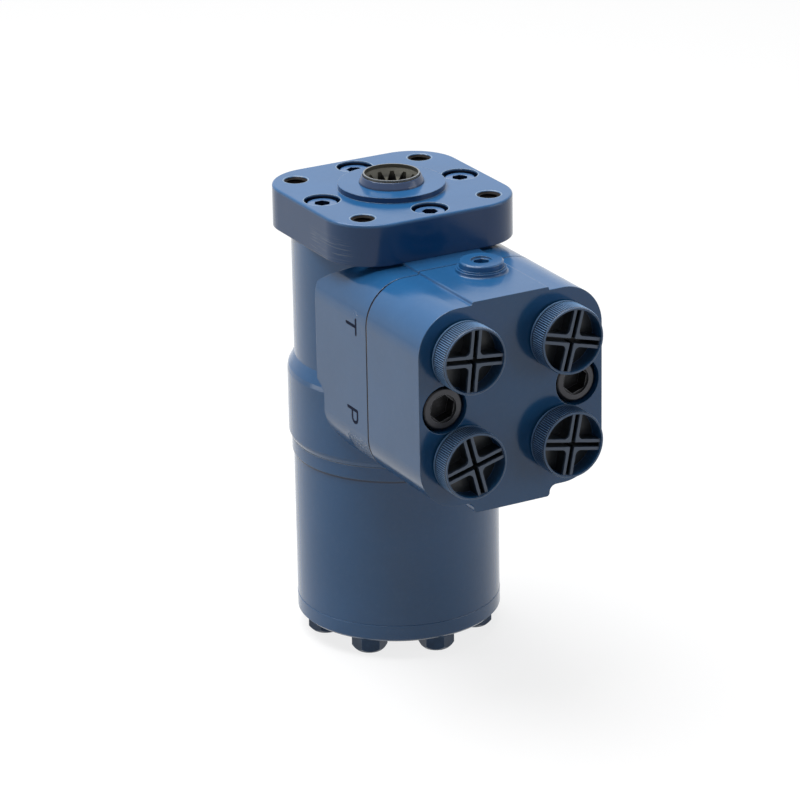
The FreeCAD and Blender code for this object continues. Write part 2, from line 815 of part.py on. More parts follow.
plate = new_body("distributor_plate")
groove_in = "set_cord_middle - set_cord * 0.65"
groove_out = "set_cord_middle + set_cord * 0.65"
turned(plate, [
    ("plate_bore / 2", "-housing_end"),
    (groove_in, "-housing_end"),
    (groove_in, "-housing_end - set_cord - cord_play"),
    (groove_out, "-housing_end - set_cord - cord_play"),
    (groove_out, "-housing_end"),
    ("plate / 2", "-housing_end"),
    ("plate / 2", "-plate_end"),
    (groove_out, "-plate_end"),
    (groove_out, "-plate_end + set_cord + cord_play"),
    (groove_in, "-plate_end + set_cord + cord_play"),
    (groove_in, "-plate_end"),
    ("plate_bore / 2", "-plate_end"),
])
hole = sketch(plate, "XY_Plane", "-housing_end")
circle(hole, "0", "-bolt_circle", "(screw + screw_play) / 2")
hole = pocket(plate, hole, "plate_end - housing_end")
slot = sketch(plate, "XY_Plane", "-housing_end")
box(slot, "feed_slot / 2", "feed_slot_in", "feed_slot_out")
slot = pocket(plate, slot, "plate_end - housing_end")
ring_of(plate, [hole, slot], BOLTS)

# Gear ring: seven round lobes around the rotor, a bolt through each

ring = new_body("gear_ring")
lobe = sketch(ring, "XY_Plane", "-set_end")
circle(lobe, "0", "-lobe_circle", "lobe")
lobe = pad(ring, lobe, "set_end - plate_end")
ring_of(ring, [lobe], BOLTS)
root = "lobe_circle - lobe + 2 * throw + rotor_gap"
wall = sketch(ring, "XY_Plane", "-set_end")
circle(wall, "0", "0", root)
circle(wall, "0", "0", "set_outside")
pad(ring, wall, "set_end - plate_end")
trim = sketch(ring, "XY_Plane", "-plate_end + 1")
circle(trim, "0", "0", "set_outside / 2")
circle(trim, "0", "0", "set_outside * 2")
pocket(ring, trim, "set_end - plate_end + 2")
hole = sketch(ring, "XY_Plane", "-plate_end")
circle(hole, "0", "-bolt_circle", "(screw + screw_play) / 2")
hole = pocket(ring, hole, "set_end - plate_end")
ring_of(ring, [hole], BOLTS)

# Rotor: six lobes, drawn as the path of the ring's lobe centres seen from the
# rotor, moved inwards by a lobe's radius and the running gap

def rotor_point(turn):
    """Return the outline's point at a turn from a valley, and its direction there."""
    wave = BOLTS * turn
    x = path_radius * math.cos(turn) - throw * math.cos(wave)
    y = path_radius * math.sin(turn) - throw * math.sin(wave)
    dx = -path_radius * math.sin(turn) + BOLTS * throw * math.sin(wave)
    dy = path_radius * math.cos(turn) - BOLTS * throw * math.cos(wave)
    speed = math.hypot(dx, dy)
    x -= lobe_radius * dy / speed
    y += lobe_radius * dx / speed
    return Vector(y, -x, low), Vector(dy, -dx, 0) / speed


STEPS = 10
lobe_radius = value("lobe + rotor_gap")
path_radius = value("lobe_circle")
throw = value("throw")
low = value("-set_end + face_gap")
edges = []
for lobe in range(ROTOR_LOBES):
    turns = [2 * math.pi * (lobe + i / STEPS) / ROTOR_LOBES for i in range(STEPS + 1)]
    found = [rotor_point(turn) for turn in turns]
    curve = Part.BSplineCurve()
    curve.interpolate(
        Points=[point for point, _ in found],
        InitialTangent=found[0][1], FinalTangent=found[-1][1])
    edges.append(curve.toShape())
face = Part.Face(Part.Wire(edges))
height = value("set_end - plate_end - 2 * face_gap")
blank = doc.addObject("Part::Feature", "rotor_blank")
blank.Shape = face.extrude(Vector(0, 0, height))
rotor = new_body("gear_rotor")
rotor.BaseFeature = blank
bore = sketch(rotor, "XY_Plane", "-plate_end")
circle(bore, "0", "0", "spline_minor / 2")
pocket(rotor, bore, "set_end - plate_end")
gap = sketch(rotor, "XY_Plane", "-plate_end", turn=15)
space(gap, "spline_minor / 2 - 0.4", "spline_major / 2", "spline_space", -flank)
gap = pocket(rotor, gap, "set_end - plate_end")
ring_of(rotor, [gap], TEETH)
move(rotor, y="-throw")

# End cover, its seven bolts and their sealing washers

cover = new_body("end_cover")
turned(cover, [
    ("0", "-set_end"),
    (groove_in, "-set_end"),
    (groove_in, "-set_end - set_cord - cord_play"),
    (groove_out, "-set_end - set_cord - cord_play"),
    (groove_out, "-set_end"),
    ("cover / 2 - cover_edge", "-set_end"),
    ("cover / 2", "-set_end - cover_edge"),
    ("cover / 2", "-cover_end + cover_bevel"),
    ("cover / 2 - cover_bevel", "-cover_end"),
    ("0", "-cover_end"),
])
hole = sketch(cover, "XY_Plane", "-set_end")
circle(hole, "0", "-bolt_circle", "(screw + screw_play) / 2")
hole = pocket(cover, hole, "cover_end - set_end")
ring_of(cover, [hole], BOLTS)

bolts = new_body("cover_bolts")
head = sketch(bolts, "XY_Plane", "-cover_end - bolt_washer")
hexagon(head, "0", "-bolt_circle", "bolt_key", -33)
head = pad(bolts, head, "bolt_head", True)
cone = sketch(bolts, "YZ_Plane")
low_face = "-cover_end - bolt_washer - bolt_head"
beyond = "-bolt_circle - bolt_key / 2 - 1.5"
polygon(cone, [
    ("-bolt_circle - bolt_face / 2", f"{low_face} - 1"),
    ("-bolt_circle - bolt_face / 2", low_face),
    (beyond, f"{low_face} + bolt_key / 2 + 1.5 - bolt_face / 2"),
    (beyond, f"{low_face} - 1"),
])
axis = cone.addGeometry(Part.LineSegment(Vector(0, 0, 0), Vector(0, 1, 0)), True)
pin(cone, axis, 1, "-bolt_circle", low_face)
pin(cone, axis, 2, "-bolt_circle", f"{low_face} + 1")
cone = feature(bolts, "PartDesign::Groove", cone)
cone.ReferenceAxis = (cone.Profile[0], ["Axis0"])
cone.Angle = 360
shank = sketch(bolts, "XY_Plane", "-cover_end - bolt_washer")
circle(shank, "0", "-bolt_circle", "screw / 2")
shank = pad(bolts, shank, "cover_end + bolt_washer - housing_end + bolt_reach")
ring_of(bolts, [head, cone, shank], BOLTS)

washers = new_body("cover_washers")
profile = sketch(washers, "XY_Plane", "-cover_end")
circle(profile, "0", "-bolt_circle", "bolt_washer_width / 2")
circle(profile, "0", "-bolt_circle", "(screw + screw_play) / 2")
washer = pad(washers, profile, "bolt_washer", True)
ring_of(washers, [washer], BOLTS)

# Drive shaft: its fork takes the cross pin, its crowned head turns the rotor;
# it is drawn about its own axis from the pin down, then tilted to the rotor

drive = new_body("drive_shaft")
long = value("drive_middle - pin_depth")
tilt = math.degrees(math.atan2(throw, long))
turned(drive, [
    ("0", "drive_fork_top"),
    ("drive_fork / 2", "drive_fork_top"),
    ("drive_fork / 2", "-drive_fork_end"),
    ("drive_shaft / 2", "-drive_fork_end - 4"),
    ("drive_shaft / 2", "pin_depth - drive_middle + drive_head / 2 + 3"),
    ("drive_crown", "pin_depth - drive_middle + drive_head / 2"),
    ("drive_tip", "pin_depth - drive_middle + drive_head / 6"),
    ("drive_tip", "pin_depth - drive_middle - drive_head / 6"),
    ("drive_crown", "pin_depth - drive_middle - drive_head / 2"),
    ("drive_nose / 2 + 1", "pin_depth - drive_middle - drive_head / 2 - 1"),
    ("drive_nose / 2", "pin_depth - drive_end + 1.5"),
    ("drive_nose / 2 - 1.5", "pin_depth - drive_end"),
    ("0", "pin_depth - drive_end"),
])
slot = sketch(drive, "YZ_Plane", "-drive_fork")
box(slot, "drive_slot / 2", "-drive_slot / 2 - 0.3", "drive_fork_top + 1")
pocket(drive, slot, "drive_fork * 2", True)
gap = sketch(drive, "XY_Plane", "pin_depth - drive_middle + drive_head / 2 + 4")
space(gap, "drive_root", "drive_tip + 1", "spline_pitch * 0.261799 - drive_tooth", flank)
gap = pocket(drive, gap, "drive_head + 6")
ring_of(drive, [gap], TEETH)
move(drive, z="-pin_depth", rotation=Rotation(Vector(1, 0, 0), -tilt))

spacer = new_body("drive_spacer")
profile = sketch(spacer, "XY_Plane", "-set_end + face_gap")
circle(profile, "0", "0", "spacer / 2")
pad(spacer, profile, "spacer_height")
move(spacer, y="-throw")

# Port block: four ports with channels to the seam, two sunk screws, and the
# relief valve under the boss on top

block = new_body("valve_block")
pad(block, port_outline(block, "block_front"), "block_front - seam", True)
boss = sketch(block, "XY_Plane", "-strip_top - 2")
circle(boss, "relief_x", "-relief_y", "boss / 2")
pad(block, boss, "boss_height + 2")
dressed(
    block, "boss_root",
    lambda edge: isinstance(edge.Curve, Part.Circle)
    and abs(edge.Curve.Radius - value("boss / 2")) < 1e-6
    and abs(edge.BoundBox.ZMax + value("strip_top")) < 1e-6)
ports = sketch(block, "XZ_Plane", "block_front")
channels = sketch(block, "XZ_Plane", "block_front")
for x, z in CAP_PLACE.values():
    circle(ports, x, z, "port_bore / 2")
    circle(channels, x, z, "port_channel / 2")
pocket(block, ports, "port_depth")
pocket(block, channels, "block_front - seam")
sinks = sketch(block, "XZ_Plane", "block_front")
clears = sketch(block, "XZ_Plane", "block_front")
for side in ("", "-"):
    circle(sinks, f"{side}block_screw_half", "-block_screw_level", "block_screw_bore / 2")
    circle(clears, f"{side}block_screw_half", "-block_screw_level", "(block_screw + screw_play) / 2")
pocket(block, sinks, "block_screw_sink")
pocket(block, clears, "block_front - seam")
for radius, depth in (
    ("(plug_thread + thread_play) / 2", "plug_end"),
    ("relief_bore / 2", "relief_bore_end"),
    ("relief_hole / 2", "relief_hole_end"),
):
    hole = sketch(block, "XY_Plane", "-strip_top + boss_height")
    circle(hole, "relief_x", "-relief_y", radius)
    pocket(block, hole, f"{depth} - strip_top + boss_height")
crossing = sketch(block, "YZ_Plane", "relief_x")
for level in ("-port_level_top", "-port_level_low"):
    circle(crossing, "-relief_y - cross_shift", level, "cross_bore / 2")
pocket(block, crossing, "port_half_spacing + relief_x")
grooves = sketch(block, "XZ_Plane", "seam")
for x, z in CAP_PLACE.values():
    circle(grooves, x, z, "block_cord_middle - block_cord * 0.65")
    circle(grooves, x, z, "block_cord_middle + block_cord * 0.65")
pocket(block, grooves, "block_cord + cord_play", True)

screws = new_body("block_screws")
seat = "block_front - block_screw_sink"
heads = sketch(screws, "XZ_Plane", seat)
shanks = sketch(screws, "XZ_Plane", seat)
keys = sketch(screws, "XZ_Plane", f"{seat} + block_screw")
mouths = sketch(screws, "XZ_Plane", f"{seat} + block_screw")
for side in ("", "-"):
    x = f"{side}block_screw_half"
    circle(heads, x, "-block_screw_level", "block_screw_head / 2")
    circle(shanks, x, "-block_screw_level", "block_screw / 2")
    hexagon(keys, x, "-block_screw_level", "block_screw_key", 18)
    circle(mouths, x, "-block_screw_level", "block_screw_mouth / 2")
pad(screws, heads, "block_screw")
dressed(
    screws, "block_screw_edge",
    lambda edge: edge.BoundBox.YMax < value(f"-({seat}) - block_screw") + 1e-6)
pad(screws, shanks, f"{seat} - seam + block_screw_reach", True)
pocket(screws, mouths, "block_screw_mouth_depth")
pocket(screws, keys, "block_screw / 2")

seals = new_body("block_seals")
for x, z in CAP_PLACE.values():
    profile = sketch(seals, "YZ_Plane", x, z)
    circle(profile, "-seam - (block_cord + cord_play) / 2", "block_cord_middle", "block_cord / 2")
    made = feature(seals, "PartDesign::Revolution", profile)
    made.ReferenceAxis = (profile, ["H_Axis"])
    made.Angle = 360

# Relief valve: plug with its washer, spring, poppet and pressed seat; each is
# drawn about its own upright axis and placed at the boss

plug = new_body("relief_plug")
plug_seat = "-strip_top + boss_height + plug_washer"
turned(plug, [
    ("0", f"{plug_seat} + plug_height"),
    ("plug_head / 2 - plug_edge", f"{plug_seat} + plug_height"),
    ("plug_head / 2", f"{plug_seat} + plug_height - plug_edge"),
    ("plug_head / 2", plug_seat),
    ("plug_thread / 2", plug_seat),
    ("plug_thread / 2", "-plug_end"),
    ("poppet_guide / 2", "-plug_end"),
    ("poppet_guide / 2", "-plug_end - plug_guide_length"),
    ("0", "-plug_end - plug_guide_length"),
])
mouth = sketch(plug, "XY_Plane", f"{plug_seat} + plug_height")
circle(mouth, "0", "0", "plug_mouth / 2")
pocket(plug, mouth, "plug_mouth_depth")
key = sketch(plug, "XY_Plane", f"{plug_seat} + plug_height")
hexagon(key, "0", "0", "plug_key")
pocket(plug, key, "plug_key")
move(plug, "relief_x", "-relief_y")

washer = new_body("relief_washer")
profile = sketch(washer, "XY_Plane", "-strip_top + boss_height")
circle(profile, "0", "0", "plug_head / 2 + plug_washer_lip")
circle(profile, "0", "0", "(plug_thread + thread_play) / 2")
pad(washer, profile, "plug_washer")
move(washer, "relief_x", "-relief_y")

seat = new_body("relief_seat")
turned(seat, [
    ("relief_hole / 2", "-relief_seat_top"),
    ("relief_bore / 2 - seat_gap", "-relief_seat_top"),
    ("relief_bore / 2 - seat_gap", "-relief_bore_end"),
    ("relief_hole / 2", "-relief_bore_end"),
])
move(seat, "relief_x", "-relief_y")

poppet = new_body("relief_poppet")
turned(poppet, [
    ("0", "-spring_low + poppet_guide_length"),
    ("poppet_guide / 2", "-spring_low + poppet_guide_length"),
    ("poppet_guide / 2", "-spring_low"),
    ("poppet / 2", "-spring_low"),
    ("poppet / 2", "-relief_seat_top + poppet_skirt"),
    ("relief_hole / 2 + poppet_land", "-relief_seat_top + poppet_land + seat_gap"),
    ("relief_hole / 2 - poppet_land", "-relief_seat_top - poppet_land + seat_gap"),
    ("0", "-relief_seat_top - poppet_land + seat_gap"),
])
move(poppet, "relief_x", "-relief_y")

coil = new_body("relief_spring")
turns = 8
steps = int(value("spring_turns") * turns)
rise = value("spring_low - plug_end - spring_wire - 0.1") / steps
line = Part.BSplineCurve()
line.interpolate([
    Vector(
        value("spring_radius") * math.cos(2 * math.pi * i / turns),
        value("spring_radius") * math.sin(2 * math.pi * i / turns),
        value("-spring_low + spring_wire / 2 + 0.05") + rise * i)
    for i in range(steps + 1)])
along = Part.Wire(line.toShape())
start = Part.Circle(line.StartPoint, line.tangent(line.FirstParameter)[0], value("spring_wire / 2"))
wire = doc.addObject("Part::Feature", "spring_wire_swept")
wire.Shape = along.makePipeShell([Part.Wire(start.toShape())], True, True)
coil.BaseFeature = wire
move(coil, "relief_x", "-relief_y")

# Check valve in the pressure channel: a pressed seat and the ball behind it

seat = new_body("check_seat")
profile = sketch(seat, "XZ_Plane", "check_seat_back")
x, z = CAP_PLACE["pressure"]
circle(profile, x, z, "port_channel / 2 - seat_gap")
circle(profile, x, z, "check_hole / 2")
pad(seat, profile, "check_seat_front - check_seat_back")

ball = new_body("check_ball")
profile = sketch(ball, "XZ_Plane")
radius = value("check_ball / 2")
arc = profile.addGeometry(Part.Arc(Vector(0, -radius, 0), Vector(radius, 0, 0), Vector(0, radius, 0)))
pin(profile, arc, 3, "0", "0")
bind(profile, "Radius", "check_ball / 2", arc)
for end in (1, 2):
    profile.addConstraint(Sketcher.Constraint("PointOnObject", arc, end, -2))
chord = profile.addGeometry(Part.LineSegment(Vector(0, radius, 0), Vector(0, -radius, 0)))
profile.addConstraint(Sketcher.Constraint("Coincident", chord, 1, arc, 2))
profile.addConstraint(Sketcher.Constraint("Coincident", chord, 2, arc, 1))
made = feature(ball, "PartDesign::Revolution", profile)
made.ReferenceAxis = (profile, ["V_Axis"])
made.Angle = 360
stand_off = "sqrt(check_ball * check_ball / 4 - check_hole * check_hole / 4) + seat_gap"
move(ball, x, f"-check_seat_back + {stand_off}", z)

# Port caps: a plug in each port, with a cup outside that holds a double-walled
# cross, and a flat seal under its lip; all are drawn about their own axis

OUTWARDS = Rotation(Vector(1, 0, 0), 90)
for port, (x, z) in CAP_PLACE.items():
    cap_seal = new_body("seal_" + port)
    profile = sketch(cap_seal, "XY_Plane")
    circle(profile, "0", "0", "cap_seal_width / 2")
    circle(profile, "0", "0", "port_bore / 2 + 0.1")
    pad(cap_seal, profile, "cap_seal")
    move(cap_seal, x, "-block_front", z, OUTWARDS)

    cap = new_body("cap_" + port)
    cup = "cap_seal + cap_floor"
    turned(cap, [
        ("0", "cap_seal - 0.6"),
        ("cap_stub_bore / 2", "cap_seal - 0.6"),
        ("cap_stub_bore / 2", "-cap_stub_length"),
        ("cap_stub / 2", "-cap_stub_length"),
        ("cap_stub / 2", "cap_seal"),
        ("cap_lip / 2", "cap_seal"),
        ("cap_lip / 2", "cap_seal + cap_lip_height"),
        ("cap / 2", "cap_seal + cap_lip_height"),
        ("cap / 2", "cap_reach"),
        ("cap / 2 - cap_wall", "cap_reach"),
        ("cap / 2 - cap_wall", cup),
        ("0", cup),
    ])
    arm = "cap_arm / 2"
    far = "cap / 2 - cap_wall / 2"
    cross = sketch(cap, "XY_Plane", cup)
    corners = [(far, f"-{arm}"), (far, arm), (arm, arm), (arm, far)]
    corners += [(f"-{arm}", far), (f"-{arm}", arm), (f"-({far})", arm), (f"-({far})", f"-{arm}")]
    corners += [(f"-{arm}", f"-{arm}"), (f"-{arm}", f"-({far})"), (arm, f"-({far})"), (arm, f"-{arm}")]
    polygon(cross, corners)
    pad(cap, cross, f"cap_reach - cap_cross_drop - ({cup})")
    low, high = value(cup), value("cap_reach - cap_cross_drop")
    dressed(
        cap, "cap_fillet",
        lambda edge: runs_along(edge, Vector(0, 0, 1))
        and abs(edge.BoundBox.ZMin - low) < 1e-3
        and abs(edge.BoundBox.ZMax - high) < 1e-3
        and math.hypot(edge.BoundBox.XMin, edge.BoundBox.YMin) < value("cap_arm"))
    slot = "cap_slot / 2"
    far = "cap / 2 - cap_slot_wall"
    groove = sketch(cap, "XY_Plane", "cap_reach - cap_cross_drop")
    corners = [(far, f"-{slot}"), (far, slot), (slot, slot), (slot, far)]
    corners += [(f"-{slot}", far), (f"-{slot}", slot), (f"-({far})", slot), (f"-({far})", f"-{slot}")]
    corners += [(f"-{slot}", f"-{slot}"), (f"-{slot}", f"-({far})"), (slot, f"-({far})"), (slot, f"-{slot}")]
    polygon(groove, corners)
    pocket(cap, groove, "cap_slot_depth")
    turn = Rotation(Vector(0, 0, 1), CAP_TURN[port])
    move(cap, x, "-block_front", z, OUTWARDS * turn)

doc.recompute()

# Checks, then one file for each piece

for item in doc.Objects:
    if "Invalid" in item.State or "Error" in item.State:
        raise RuntimeError(f"{item.Name} is {item.State}")
os.makedirs("parts", exist_ok=True)
for body in NODES:
    if body.Shape.isNull() or not body.Shape.isValid():
        raise RuntimeError(f"{body.Label} has no valid shape")
    body.Shape.exportStep(f"parts/{body.Label}.step")
    print(body.Label, len(body.Shape.Solids), round(body.Shape.Volume, 1))
print(len(NODES), "pieces")
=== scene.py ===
# %% [markdown]
# # An orbital steering unit
#
# This lesson dresses a hydraulic steering unit. Its castings, screws and valve
# parts come ready from CAD. Here they get their finishes: glossy slate-blue
# enamel over iron, black screws, greased steel in the spline and moulded port
# caps. A few fine pieces that only the eye needs are worked out with numpy: the
# knurling on the caps, the threads in the mounting holes and the stamped marks.

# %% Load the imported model
import json
import math

import bpy
import numpy as np
from mathutils import Matrix, Vector


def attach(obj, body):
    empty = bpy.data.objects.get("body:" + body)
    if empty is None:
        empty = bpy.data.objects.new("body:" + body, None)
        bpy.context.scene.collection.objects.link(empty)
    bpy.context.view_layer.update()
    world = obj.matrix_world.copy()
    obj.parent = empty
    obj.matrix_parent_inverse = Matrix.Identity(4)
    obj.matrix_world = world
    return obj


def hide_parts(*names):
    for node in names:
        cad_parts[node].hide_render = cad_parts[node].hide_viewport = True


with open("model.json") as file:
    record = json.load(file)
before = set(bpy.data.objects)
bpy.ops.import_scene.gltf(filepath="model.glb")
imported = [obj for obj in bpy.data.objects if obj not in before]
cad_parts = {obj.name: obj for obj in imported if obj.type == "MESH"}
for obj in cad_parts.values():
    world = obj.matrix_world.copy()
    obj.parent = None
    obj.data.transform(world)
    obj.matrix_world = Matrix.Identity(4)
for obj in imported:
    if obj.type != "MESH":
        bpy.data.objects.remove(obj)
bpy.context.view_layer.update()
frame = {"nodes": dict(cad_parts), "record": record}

nodes = frame["nodes"]

# %% [markdown]
# ## Lengths
#
# Blender works in metres, but a fitter thinks in millimetres. One factor turns
# the second into the first, so every length below can be read off a ruler.

# %% Millimetres
MM = 0.001
FLOOR = -193.3 * MM
PORT_FACE = -96.8 * MM
PORT_X = 22.25 * MM
PORT_Z = {"top": -38.0 * MM, "low": -82.1 * MM}
CAPS = {
    "tank": (-PORT_X, PORT_Z["top"]),
    "right": (PORT_X, PORT_Z["top"]),
    "pressure": (-PORT_X, PORT_Z["low"]),
    "left": (PORT_X, PORT_Z["low"]),
}
SCREW_X = 30.4 * MM
SCREW_Z = -59.9 * MM
print("floor at", FLOOR)

# %% [markdown]
# ## Shader node groups
#
# Several finishes share the same effects, so each effect is a node group with
# named inputs and outputs. The groups give only masks, colours and heights; the
# Principled shader stays in each material. Three helpers keep the wiring short.


# %% Helpers for nodes
def group(name, inputs, outputs):
    """Start a shader node group: inputs are name: (socket type, default)."""
    tree = bpy.data.node_groups.new(name, "ShaderNodeTree")
    for title, (kind, default) in inputs.items():
        socket = tree.interface.new_socket(title, in_out="INPUT", socket_type=kind)
        socket.default_value = default
    for title, kind in outputs.items():
        tree.interface.new_socket(title, in_out="OUTPUT", socket_type=kind)
    return tree, tree.nodes.new("NodeGroupInput"), tree.nodes.new("NodeGroupOutput")


def add(tree, kind, links=None, **settings):
    """Add a node, set its properties, and link or fill its inputs by name or number."""
    node = tree.nodes.new(kind)
    for key, setting in settings.items():
        setattr(node, key, setting)
    for key, source in (links or {}).items():
        if isinstance(source, bpy.types.NodeSocket):
            tree.links.new(source, node.inputs[key])
        else:
            node.inputs[key].default_value = source
    return node


def maths(tree, operation, first, second=0.0, clamp=False):
    """Add one sum and return its result."""
    return add(tree, "ShaderNodeMath", {0: first, 1: second}, operation=operation,
               use_clamp=clamp).outputs[0]


def ramp(tree, factor, stops):
    """Add a colour ramp; stops are position: grey value."""
    node = add(tree, "ShaderNodeValToRGB", {0: factor})
    points = node.color_ramp.elements
    for i, (place, grey) in enumerate(stops.items()):
        point = points[i] if i < 2 else points.new(place)
        point.position = place
        point.color = (grey, grey, grey, 1)
    return node.outputs[0]


FLOAT = "NodeSocketFloat"
COLOR = "NodeSocketColor"
VECTOR = "NodeSocketVector"
print("helpers ready")

# %% [markdown]
# ### Orange peel
#
# Sprayed enamel never dries dead flat: it keeps a fine pebbled skin about a
# millimetre across, over a slow waviness where the coat is thicker. Two noises
# on Object coordinates give that as one height.

# %% Group: orange peel
tree, given, made = group(
    "Orange peel",
    {"Size": (FLOAT, 1.2), "Skin": (FLOAT, 0.5), "Wave": (FLOAT, 1.0)},
    {"Height": FLOAT})
where = add(tree, "ShaderNodeTexCoord").outputs["Object"]
fine_scale = maths(tree, "DIVIDE", 1000.0, given.outputs["Size"])
fine = add(tree, "ShaderNodeTexNoise", {"Vector": where, "Scale": fine_scale, "Detail": 2.0})
slow = add(tree, "ShaderNodeTexNoise", {"Vector": where, "Scale": 55.0, "Detail": 2.0})
skin = maths(tree, "MULTIPLY", fine.outputs["Fac"], given.outputs["Skin"])
wave = maths(tree, "MULTIPLY", slow.outputs["Fac"], given.outputs["Wave"])
tree.links.new(maths(tree, "ADD", skin, wave), made.inputs["Height"])
orange_peel = tree
print(tree.name, "ready")

# %% [markdown]
# ### Edges
#
# Paint is thin on sharp corners, and a corner always catches some light. The
# Bevel node bends the normal near an edge; where the bent normal leaves the
# true one, there is an edge. Noise breaks the line up. A colour lightened by this
# mask is partly thin paint and partly a painted highlight. The bent normal is
# handed on too, so that a sharp edge shines like a slightly rounded one.

# %% Group: edge mask
tree, given, made = group(
    "Edge mask",
    {"Radius": (FLOAT, 0.4), "Amount": (FLOAT, 1.0), "Broken": (FLOAT, 0.5)},
    {"Mask": FLOAT, "Normal": VECTOR})
radius = maths(tree, "MULTIPLY", given.outputs["Radius"], MM)
bent = add(tree, "ShaderNodeBevel", {"Radius": radius}, samples=6).outputs["Normal"]
true = add(tree, "ShaderNodeNewGeometry").outputs["Normal"]
agree = add(tree, "ShaderNodeVectorMath", {0: bent, 1: true}, operation="DOT_PRODUCT")
edge = maths(tree, "SUBTRACT", 1.0, agree.outputs["Value"])
where = add(tree, "ShaderNodeTexCoord").outputs["Object"]
chip = add(tree, "ShaderNodeTexNoise", {"Vector": where, "Scale": 420.0, "Detail": 3.0})
chip = maths(tree, "SUBTRACT", chip.outputs["Fac"], 0.5)
chip = maths(tree, "MULTIPLY", chip, given.outputs["Broken"])
edge = maths(tree, "ADD", maths(tree, "MULTIPLY", edge, 5.0), chip)
edge = maths(tree, "MULTIPLY", edge, given.outputs["Amount"], clamp=True)
tree.links.new(edge, made.inputs["Mask"])
tree.links.new(bent, made.inputs["Normal"])
edge_mask = tree
print(tree.name, "ready")

# %% [markdown]
# ### Clouding
#
# Hand spraying leaves the tone a little uneven, and handling leaves faint
# smears. Clouding gives a colour between two tones and a roughness that wanders
# with it.

# %% Group: clouding
tree, given, made = group(
    "Clouding",
    {"Tone": (COLOR, (0.1, 0.1, 0.1, 1)), "Shade": (COLOR, (0.05, 0.05, 0.05, 1)),
     "Scale": (FLOAT, 30.0), "Rough": (FLOAT, 0.25), "Wander": (FLOAT, 0.1)},
    {"Color": COLOR, "Roughness": FLOAT})
where = add(tree, "ShaderNodeTexCoord").outputs["Object"]
cloud = add(tree, "ShaderNodeTexNoise",
            {"Vector": where, "Scale": given.outputs["Scale"], "Detail": 5.0})
soft = ramp(tree, cloud.outputs["Fac"], {0.3: 0.0, 0.7: 1.0})
mixed = add(tree, "ShaderNodeMix", {0: soft, 6: given.outputs["Shade"], 7: given.outputs["Tone"]},
            data_type="RGBA")
smear = add(tree, "ShaderNodeTexNoise", {"Vector": where, "Scale": 95.0, "Detail": 4.0})
smear = maths(tree, "SUBTRACT", smear.outputs["Fac"], 0.5)
smear = maths(tree, "MULTIPLY", smear, given.outputs["Wander"])
tree.links.new(mixed.outputs[2], made.inputs["Color"])
tree.links.new(maths(tree, "ADD", smear, given.outputs["Rough"]), made.inputs["Roughness"])
clouding = tree
print(tree.name, "ready")


# %% Putting a group into a material
def place(tree, made, links=None):
    """Add a group to a material with its own values."""
    return add(tree, "ShaderNodeGroup", links, node_tree=made)


def material(name, **sockets):
    """Start a material whose Principled shader has these fixed values."""
    finish = bpy.data.materials.new(name)
    finish.use_nodes = True
    shader = finish.node_tree.nodes["Principled BSDF"]
    for key, amount in sockets.items():
        shader.inputs[key.replace("_", " ")].default_value = amount
    return finish, finish.node_tree, shader


def blend_colour(tree, mask, low, high):
    """Mix two colours by a mask."""
    return add(tree, "ShaderNodeMix", {0: mask, 6: low, 7: high}, data_type="RGBA").outputs[2]


def bump(tree, height, distance, normal=None):
    """Turn a height into a normal; the distance is in millimetres."""
    links = {"Height": height, "Distance": distance * MM}
    if normal is not None:
        links["Normal"] = normal
    return add(tree, "ShaderNodeBump", links).outputs["Normal"]


def dress(tree, shader, colour, clouds, normal=None):
    """Wire the colour, the clouds' roughness and the normal into the shader."""
    tree.links.new(colour, shader.inputs["Base Color"])
    tree.links.new(clouds.outputs["Roughness"], shader.inputs["Roughness"])
    if normal is not None:
        tree.links.new(normal, shader.inputs["Normal"])


print("materials can be made")

# %% [markdown]
# ## Slate-blue enamel
#
# The whole unit was sprayed after it was screwed together. The coat is glossy
# and covers iron, screws and washers alike. It is a dark slate blue that looks
# greyer where it mirrors the studio. On corners it is thinner and paler; the
# paler corner colour is partly thin paint and partly a painted highlight.

# %% Enamel
BLUE = (0.019, 0.110, 0.278, 1)
BLUE_SHADE = (0.015, 0.095, 0.242, 1)
BLUE_EDGE_WEAR_AND_HIGHLIGHT = (0.075, 0.195, 0.37, 1)


def enamel(name, tone=BLUE, shade=BLUE_SHADE, edge_radius=0.5, skin=0.5, gloss=0.46):
    """Make the blue coat: clouded colour, paler corners of thin paint and painted highlight,
    pebbled skin.
    """
    finish, tree, shader = material(name, Metallic=0.0, IOR=1.5, Specular_IOR_Level=gloss)
    clouds = place(tree, clouding, {"Tone": tone, "Shade": shade, "Rough": 0.16, "Wander": 0.12})
    edges = place(tree, edge_mask, {"Radius": edge_radius, "Amount": 0.45, "Broken": 0.5})
    # Paler corners: thin paint and a painted highlight.
    colour = blend_colour(tree, edges.outputs["Mask"], clouds.outputs["Color"], BLUE_EDGE_WEAR_AND_HIGHLIGHT)
    peel = place(tree, orange_peel, {"Size": 1.3, "Skin": skin, "Wave": 2.0})
    normal = bump(tree, peel.outputs["Height"], 0.03, edges.outputs["Normal"])
    dress(tree, shader, colour, clouds, normal)
    return finish, tree, shader, colour


blue_enamel = enamel("blue_enamel")[0]
print(blue_enamel.name)
